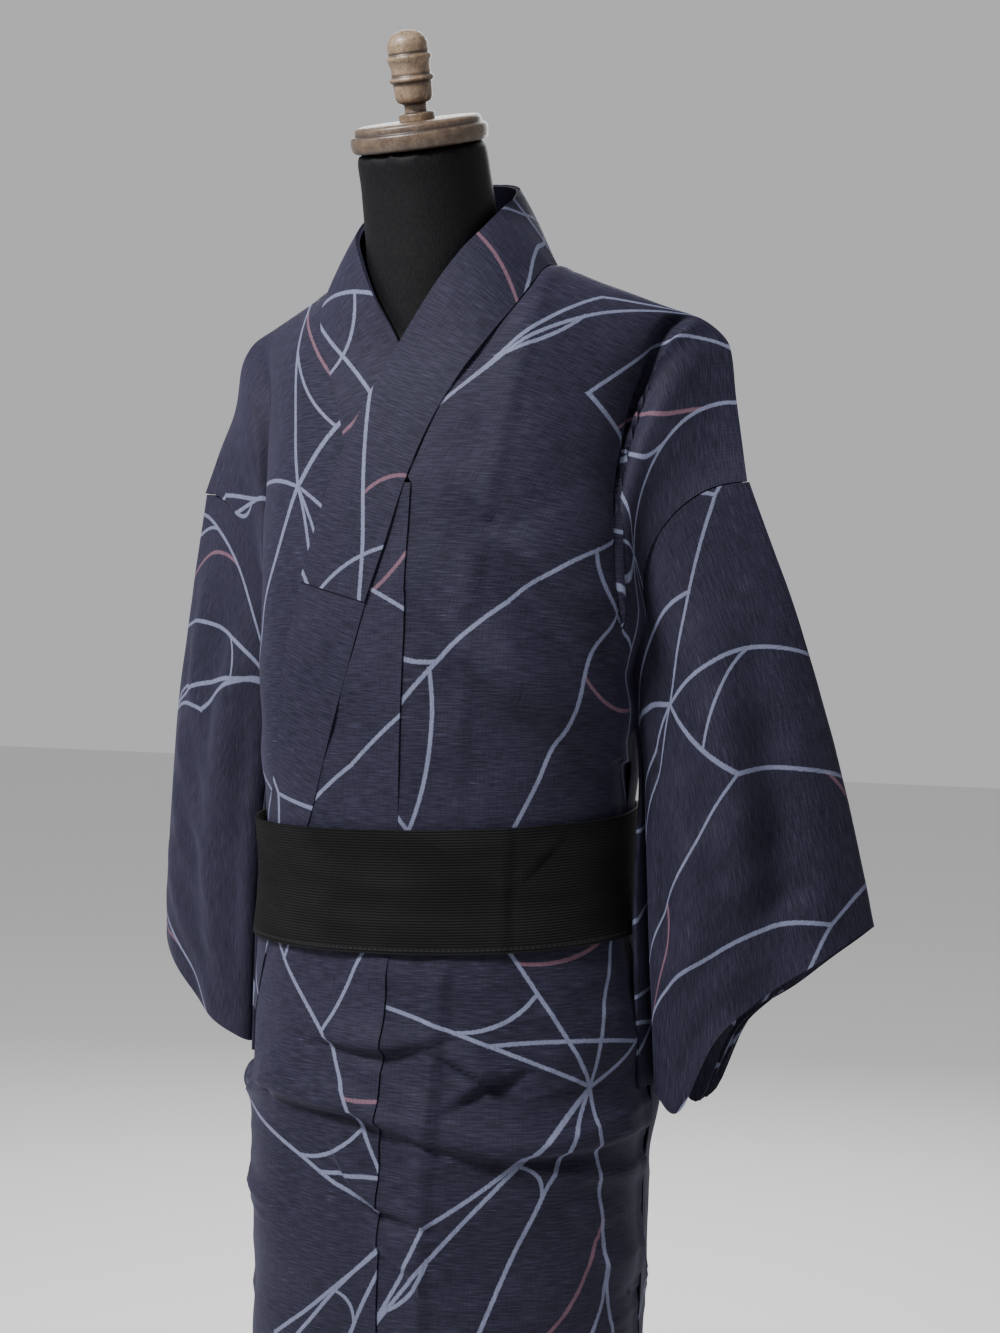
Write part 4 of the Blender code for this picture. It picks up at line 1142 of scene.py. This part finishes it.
for side, word, sag, place in (
    (1, "left", LEFT_SAG, (0.16, 0.22)),
    (-1, "right", RIGHT_SAG, (0.05, 0.61)),
):
    turn = np.linspace(0, len(SLEEVE_SECTION), SLEEVE_COLUMNS, endpoint=False)
    share, turn = np.meshgrid(np.linspace(0, 1, SLEEVE_ROWS + 1), turn, indexing="ij")
    smooth_sleeve = sleeve_point(share, turn, sag)
    relief = sleeve_relief(share, turn, 5 + side)[..., None]
    grid = smooth_sleeve - grid_normals(smooth_sleeve, closed=True) * relief
    if side < 0:
        grid = grid * np.array([-1.0, 1.0, 1.0])
    looped = np.concatenate((smooth_sleeve, smooth_sleeve[:, :1]), axis=1)
    patch = (numbered(grid, closed=True), flat_places(looped.swapaxes(0, 1)).swapaxes(0, 1) + place)
    sleeve = cloth(f"sleeve_tube_{word}", grid, [patch], indigo_cotton, BODY_WALL, turned=side > 0)
    declare(sleeve, "indigo_cotton", f"sleeve_{word}")


# Obi
# The kaku obi is a stiff woven cotton band 9.4 cm wide, wound twice round the waist and tied flat
# at the back.
OBI_WALL = 0.0025
OBI_TOP_Z = 1.040
OBI_FRONT_Y = -0.124
OBI_RISE_BACK = 0.060
OBI_RISE_LEFT = 0.030
OBI_HEIGHT = 0.094
OBI_FRONT_OUT = 0.0078
OBI_BACK_OUT = 0.0016
# The waist's radius under the obi, for lengths along the band
OBI_RADIUS = BODY_RINGS[5][2]
OBI_CRUMPLE_OUT = 0.0007
OBI_CRUMPLE_SIZE = 0.09
OBI_COLUMNS = 280
OBI_ROWS = 28


def ring_out(z, angle, out):
    """Points that lie a distance outside the robe's tube."""
    step = SLOPE_STEP
    sideways = ring_point(z, angle + step) - ring_point(z, angle - step)
    upwards = ring_point(z + step, angle) - ring_point(z - step, angle)
    normal = np.cross(sideways, upwards)
    normal /= np.linalg.norm(normal, axis=-1, keepdims=True)
    return ring_point(z, angle) + normal * np.asarray(out)[..., None]


def obi_out(angle):
    """How far the obi's inner face stands off the robe's tube."""
    return OBI_FRONT_OUT + (OBI_BACK_OUT - OBI_FRONT_OUT) * ease(np.abs(angle), 1.35, 1.95)


def obi_edge_z(angle, share):
    """Height on the obi at an angle: share 0 at its bottom edge, 1 at its top edge."""
    x, y, _ = np.moveaxis(ring_point(OBI_TOP_Z - OBI_HEIGHT / 2, angle), -1, 0)
    return OBI_TOP_Z + OBI_RISE_BACK * (y - OBI_FRONT_Y) + OBI_RISE_LEFT * x - OBI_HEIGHT * (1 - share)


# Creases of the band's front: each a line of angle and metres above the band's middle, with its
# depth and width in metres
OBI_CREASES = (
    (((0.66, -0.060), (0.70, 0.060)), 0.0013, 0.0034),
    (((0.70, 0.002), (0.98, 0.040)), 0.0011, 0.0030),
    (((-0.70, -0.020), (-0.20, -0.028), (0.20, -0.024)), 0.0007, 0.0030),
)
RIB_PITCH = 0.0021
STITCH_LENGTH = 0.0042
STITCH_EDGE = 0.0035
STITCH_SHARE = 0.3
OBI_BLACK = "0A0A0B"
# RIB_LIT is the painted highlight of the obi's rib crests
RIB_LIT = "19191B"
STITCH_GREY = "3A3A3C"


# Obi cotton, dyed black and woven with a thick weft that makes fine ribs along the band. Its
# lower edge is sewn with a row of small stitches. The rib crests are painted paler in patches,
# a painted highlight of the ribs catching the light.
def ribbed_cotton():
    made, tree, shader = new_material("black_obi_cotton", Roughness=0.80, Specular_IOR_Level=0.08)
    place = add(tree, "ShaderNodeUVMap", {"uv_map": "flat"}).outputs[0]
    split = add(tree, "ShaderNodeSeparateXYZ", Vector=place).outputs
    wander = noise(tree, place, (14.0, 60.0, 1.0))
    # patches where the rib crests get the painted highlight
    wear_and_highlight = noise(tree, place, (9.0, 30.0, 1.0))

    def maths(operation, *values):
        inputs = {f"i{k}": value for k, value in enumerate(values)}
        return add(tree, "ShaderNodeMath", {"operation": operation}, **inputs).outputs[0]

    height = maths("MULTIPLY_ADD", wander, 0.0009, split[1])
    wave = maths("SINE", maths("MULTIPLY", height, 2 * math.pi / RIB_PITCH))
    soft = {"interpolation_type": "SMOOTHSTEP"}
    wear_and_highlight = add(tree, "ShaderNodeMapRange", soft, Value=wear_and_highlight, i1=0.35, i2=0.70).outputs[0]
    # painted highlight: the rib crests are painted paler (RIB_LIT) in these patches
    colour = lay(tree, linear(OBI_BLACK), RIB_LIT, wave, -0.6, 1.0, end=wear_and_highlight)
    along = maths("PINGPONG", split[0], STITCH_LENGTH / 2)
    row = maths("ABSOLUTE", maths("SUBTRACT", split[1], STITCH_EDGE))
    stitch = add(tree, "ShaderNodeMapRange", soft, Value=along, i1=0.0005, i2=0.0009, i4=STITCH_SHARE)
    colour = lay(tree, colour, STITCH_GREY, row, 0.0004, 0.0009, stitch.outputs[0], 0.0)
    tree.links.new(colour, shader.inputs["Base Color"])
    relief = add(tree, "ShaderNodeBump", Strength=0.5, Distance=0.0008, Height=wave)
    tree.links.new(relief.outputs[0], shader.inputs["Normal"])
    return made


black_obi_cotton = ribbed_cotton()
angle = np.linspace(-math.pi, math.pi, OBI_COLUMNS, endpoint=False)
share, angle = np.meshgrid(np.linspace(0, 1, OBI_ROWS + 1), angle, indexing="ij")
relief = np.zeros(angle.shape)
girth = angle * OBI_RADIUS
for line, depth, width in OBI_CREASES:
    line = [(turn * OBI_RADIUS, level) for turn, level in line]
    relief += fold_out(girth, (share - 0.5) * OBI_HEIGHT, line, depth, depth * 0.7, width)
relief += OBI_CRUMPLE_OUT * crumple(girth, share * OBI_HEIGHT * 0.5, OBI_CRUMPLE_SIZE, 41)
grid = ring_out(obi_edge_z(angle, share), angle, obi_out(angle) + OBI_WALL + relief)
patch = (numbered(grid, closed=True), flat_places(np.concatenate((grid, grid[:, :1]), axis=1)))
obi = cloth("obi_band_wound", grid, [patch], black_obi_cotton, OBI_WALL)
declare(obi, "obi_cotton", "obi_band")

# Knot
# The obi's two ends and its knot lie flat on the back of the band.
# name, first and last angle from the centre back, top and bottom edge at the first angle, the
# same at the last, in metres above the band's middle, and how far it stands off the band
KNOT_PIECES = (
    ("obi_tail_left", 0.05, 0.52, 0.030, -0.046, 0.052, -0.030, 0.0007),
    ("obi_tail_right", -0.06, -0.66, 0.040, -0.030, -0.012, -0.086, 0.0007),
    ("obi_knot", -0.26, 0.24, 0.062, -0.024, 0.030, -0.058, 0.0044),
)
KNOT_WALL = 0.0030
KNOT_COLUMNS = 32
KNOT_ROWS = 24

for name, first, last, top_1, bottom_1, top_2, bottom_2, stand_off in KNOT_PIECES:
    rows, columns = np.linspace(0, 1, KNOT_ROWS + 1), np.linspace(0, 1, KNOT_COLUMNS + 1)
    row, share = np.meshgrid(rows, columns, indexing="ij")
    low = bottom_1 + (bottom_2 - bottom_1) * share
    high = top_1 + (top_2 - top_1) * share
    angle = math.pi - (first + (last - first) * share)
    z = obi_edge_z(angle, 0.5) + low + (high - low) * row
    on_band = np.clip(z, obi_edge_z(angle, 0.0), obi_edge_z(angle, 1.0))
    grid = ring_out(on_band, angle, OBI_BACK_OUT + OBI_WALL + stand_off + KNOT_WALL)
    grid[..., 2] = z
    patch = (numbered(grid), flat_places(grid))
    tied = cloth(f"{name}_cloth", grid, [patch], black_obi_cotton, KNOT_WALL, turned=last > first)
    declare(tied, "obi_cotton", name)


# Dress form
# A limbless torso of moulded foam under black stretch jersey, with a neck that leans forwards.
JERSEY_BLACK = "08080A"
JERSEY_LIT = "0F0F11"
REMESH = 0.005
RELAX_ROUNDS = 6

# Stretch jersey, dyed black: a matt fine knit whose upright rows of loops are just to be seen.
black_jersey, tree, shader = new_material("black_jersey", Roughness=0.60, Specular_IOR_Level=0.13)
place = add(tree, "ShaderNodeTexCoord").outputs["Object"]
rows = noise(tree, place, (700.0, 700.0, 260.0), detail=1.0)
knit = lay(tree, linear(JERSEY_BLACK), JERSEY_LIT, rows, 0.3, 0.7)
tree.links.new(knit, shader.inputs["Base Color"])
relief = add(tree, "ShaderNodeBump", Strength=0.4, Distance=0.0004, Height=rows)
tree.links.new(relief.outputs[0], shader.inputs["Normal"])
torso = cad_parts["form_torso"].copy()
torso.data = torso.data.copy()
torso.name = "jersey_torso"
torso.data.name = "jersey_torso"
shape = bmesh.new()
shape.from_mesh(torso.data)
bmesh.ops.remove_doubles(shape, verts=shape.verts, dist=0.00001)
shape.to_mesh(torso.data)
shape.free()
torso.parent = None
take_up(torso)
remesh = torso.modifiers.new("even", "REMESH")
remesh.mode = "VOXEL"
remesh.voxel_size = REMESH
bpy.ops.object.modifier_apply(modifier=remesh.name)
relax = torso.modifiers.new("relax", "SMOOTH")
relax.iterations = RELAX_ROUNDS
relax.factor = 0.5
bpy.ops.object.modifier_apply(modifier=relax.name)
torso.data.shade_smooth()
torso.data.materials.clear()
torso.data.materials.append(black_jersey)
declare(torso, "black_jersey", "form_torso")

# Neck cap and finial
# A turned wooden cap closes the neck, and a small turned finial stands on it. Both lean forwards
# with the neck.
CAP_SEAT = (0.0, -0.0515, 1.567)
CAP_TILT = 17.5
# Turned profiles, bottom to top: height above the seat, radius
CAP_PROFILE = (
    (0.0000, 0.0500),
    (0.0008, 0.0518),
    (0.0030, 0.0532),
    (0.0075, 0.0540),
    (0.0115, 0.0536),
    (0.0130, 0.0525),
    (0.0136, 0.0502),
    (0.0146, 0.0499),
    (0.0176, 0.0494),
    (0.0192, 0.0480),
    (0.0200, 0.0455),
)
FINIAL_PROFILE = (
    (0.0000, 0.0140),
    (0.0044, 0.0141),
    (0.0056, 0.0132),
    (0.0066, 0.0090),
    (0.0094, 0.0086),
    (0.0122, 0.0090),
    (0.0132, 0.0112),
    (0.0146, 0.0134),
    (0.0180, 0.0146),
    (0.0240, 0.0149),
    (0.0280, 0.0151),
    (0.0288, 0.0158),
    (0.0300, 0.0172),
    (0.0311, 0.0176),
    (0.0323, 0.0172),
    (0.0334, 0.0158),
    (0.0344, 0.0153),
    (0.0385, 0.0153),
    (0.0430, 0.0160),
    (0.0452, 0.0170),
    (0.0470, 0.0175),
    (0.0484, 0.0171),
    (0.0494, 0.0160),
    (0.0504, 0.0155),
    (0.0514, 0.0158),
    (0.0560, 0.0158),
    (0.0600, 0.0148),
    (0.0636, 0.0122),
    (0.0660, 0.0088),
    (0.0673, 0.0050),
    (0.0678, 0.0004),
)
# Heights on the finial and the cap where the dark finish has stayed in the grooves
FINIAL_GROOVES = (0.0062, 0.0126, 0.0284, 0.0340, 0.0502)
CAP_GROOVES = (0.0003, 0.0138)
TURNED_SIDES = 96
# Worn and unworn brown of each
CAP_BROWNS = ("5E4E40", "43352A")
FINIAL_BROWNS = ("87725C", "5D4B3C")
WOOD_DARK = "1C1410"

lean = Matrix.Rotation(math.radians(CAP_TILT), 4, "X")
cap_seat = Matrix.Translation(CAP_SEAT) @ lean @ Matrix.Translation((0.0, 0.0, SEAM_GAP))
finial_seat = cap_seat @ Matrix.Translation((0.0, 0.0, CAP_PROFILE[-1][0] + SEAM_GAP))


def turned_piece(name, profile, rows, sides, seat, finish):
    """A piece turned on a lathe: its profile, made finer, is swept once round."""
    heights = np.linspace(profile[0][0], profile[-1][0], rows)
    radii = curve(profile, heights)[:, 0]
    points = [(0.0, 0.0, heights[0])]
    points += [(radius, 0.0, height) for radius, height in zip(radii, heights)]
    points.append((0.0, 0.0, heights[-1]))
    mesh = bpy.data.meshes.new(name)
    mesh.from_pydata(points, [(k, k + 1) for k in range(len(points) - 1)], [])
    made = bpy.data.objects.new(name, mesh)
    take_up(made)
    sweep = made.modifiers.new("lathe", "SCREW")
    sweep.steps = sides
    sweep.render_steps = sides
    sweep.use_merge_vertices = True
    sweep.merge_threshold = 0.00001
    sweep.use_normal_calculate = True
    finish_off(made, sweep, finish)
    bpy.ops.object.mode_set(mode="EDIT")
    bpy.ops.mesh.select_all(action="SELECT")
    bpy.ops.mesh.normals_make_consistent(inside=False)
    bpy.ops.object.mode_set(mode="OBJECT")
    made.data.transform(seat)
    return made


# Turned hardwood with an antiqued brown finish: dark in the grooves and along the pores, and
# rubbed paler on the beads.
def antiqued_wood(name, seat, grooves, wear_and_highlight, brown):
    made, tree, shader = new_material(name, Roughness=0.38, Specular_IOR_Level=0.45)
    place = add(tree, "ShaderNodeTexCoord").outputs["Object"]
    axis = (seat.to_3x3() @ Vector((0.0, 0.0, 1.0))).normalized()
    difference, dot = {"operation": "SUBTRACT"}, {"operation": "DOT_PRODUCT"}
    away = add(tree, "ShaderNodeVectorMath", difference, i0=place, i1=seat.translation).outputs[0]
    height = add(tree, "ShaderNodeVectorMath", dot, i0=away, i1=axis).outputs[1]
    patchy = noise(tree, place, (160.0, 160.0, 110.0), detail=6.0, roughness=0.7)
    pores = noise(tree, place, (1100.0, 1100.0, 500.0), detail=3.0)
    colour = lay(tree, linear(brown), wear_and_highlight, patchy, 0.30, 0.70)
    colour = lay(tree, colour, WOOD_DARK, pores, 0.50, 0.72, end=0.75)
    distance, sum_up = {"operation": "ABSOLUTE"}, {"operation": "MULTIPLY_ADD"}
    for groove in grooves:
        beside = add(tree, "ShaderNodeMath", difference, i0=height, i1=groove).outputs[0]
        beside = add(tree, "ShaderNodeMath", distance, i0=beside).outputs[0]
        beside = add(tree, "ShaderNodeMath", sum_up, i0=patchy, i1=0.0012, i2=beside).outputs[0]
        colour = lay(tree, colour, WOOD_DARK, beside, 0.0007, 0.0032, 0.80, 0.0)
    tree.links.new(colour, shader.inputs["Base Color"])
    relief = add(tree, "ShaderNodeBump", Strength=0.35, Distance=0.0006, Height=pores)
    tree.links.new(relief.outputs[0], shader.inputs["Normal"])
    return made


cap_wood = antiqued_wood("antiqued_cap_wood", cap_seat, CAP_GROOVES, *CAP_BROWNS)
cap = turned_piece("neck_cap", CAP_PROFILE, 60, TURNED_SIDES, cap_seat, cap_wood)
declare(cap, "cap_wood", "form_cap")
finial_wood = antiqued_wood("antiqued_finial_wood", finial_seat, FINIAL_GROOVES, *FINIAL_BROWNS)
finial = turned_piece("neck_finial", FINIAL_PROFILE, 190, TURNED_SIDES, finial_seat, finial_wood)
declare(finial, "finial_wood", "form_finial")

# Stand
# A steel post carries the torso on a flat round base, both coated black.
POST_RADIUS = 0.0175
POST_LEVELS = (0.0183, 0.7397)
BASE_RADIUS = 0.185
BASE_HEIGHT = 0.018
BASE_BEVEL = 0.003
POST_BEVEL = 0.0006
COATING_BLACK = "1A1A1B"

# Powder-coated steel: black with a fine grain and a soft shine.
coated_steel, tree, shader = new_material("coated_steel", Base_Color=linear(COATING_BLACK), Roughness=0.42)
place = add(tree, "ShaderNodeTexCoord").outputs["Object"]
grain = noise(tree, place, (1400.0, 1400.0, 1400.0), detail=1.0)
relief = add(tree, "ShaderNodeBump", Strength=0.25, Distance=0.0003, Height=grain)
tree.links.new(relief.outputs[0], shader.inputs["Normal"])


def round_bar(name, radius, low, high, bevel, sides, node):
    """An upright cylinder with rounded rims, for one node of the stand."""
    deselect()
    bpy.ops.mesh.primitive_cylinder_add(vertices=sides, radius=radius, depth=high - low)
    made = bpy.context.object
    made.name = name
    made.data.name = name
    rims = made.modifiers.new("rims", "BEVEL")
    rims.width = bevel
    rims.segments = 3
    finish_off(made, rims, coated_steel)
    made.data.transform(Matrix.Translation((0.0, 0.0, (low + high) / 2)))
    declare(made, "stand_steel", node)


round_bar("stand_post", POST_RADIUS, *POST_LEVELS, POST_BEVEL, 64, "form_post")
round_bar("stand_base", BASE_RADIUS, 0.0, BASE_HEIGHT, BASE_BEVEL, 128, "form_base")
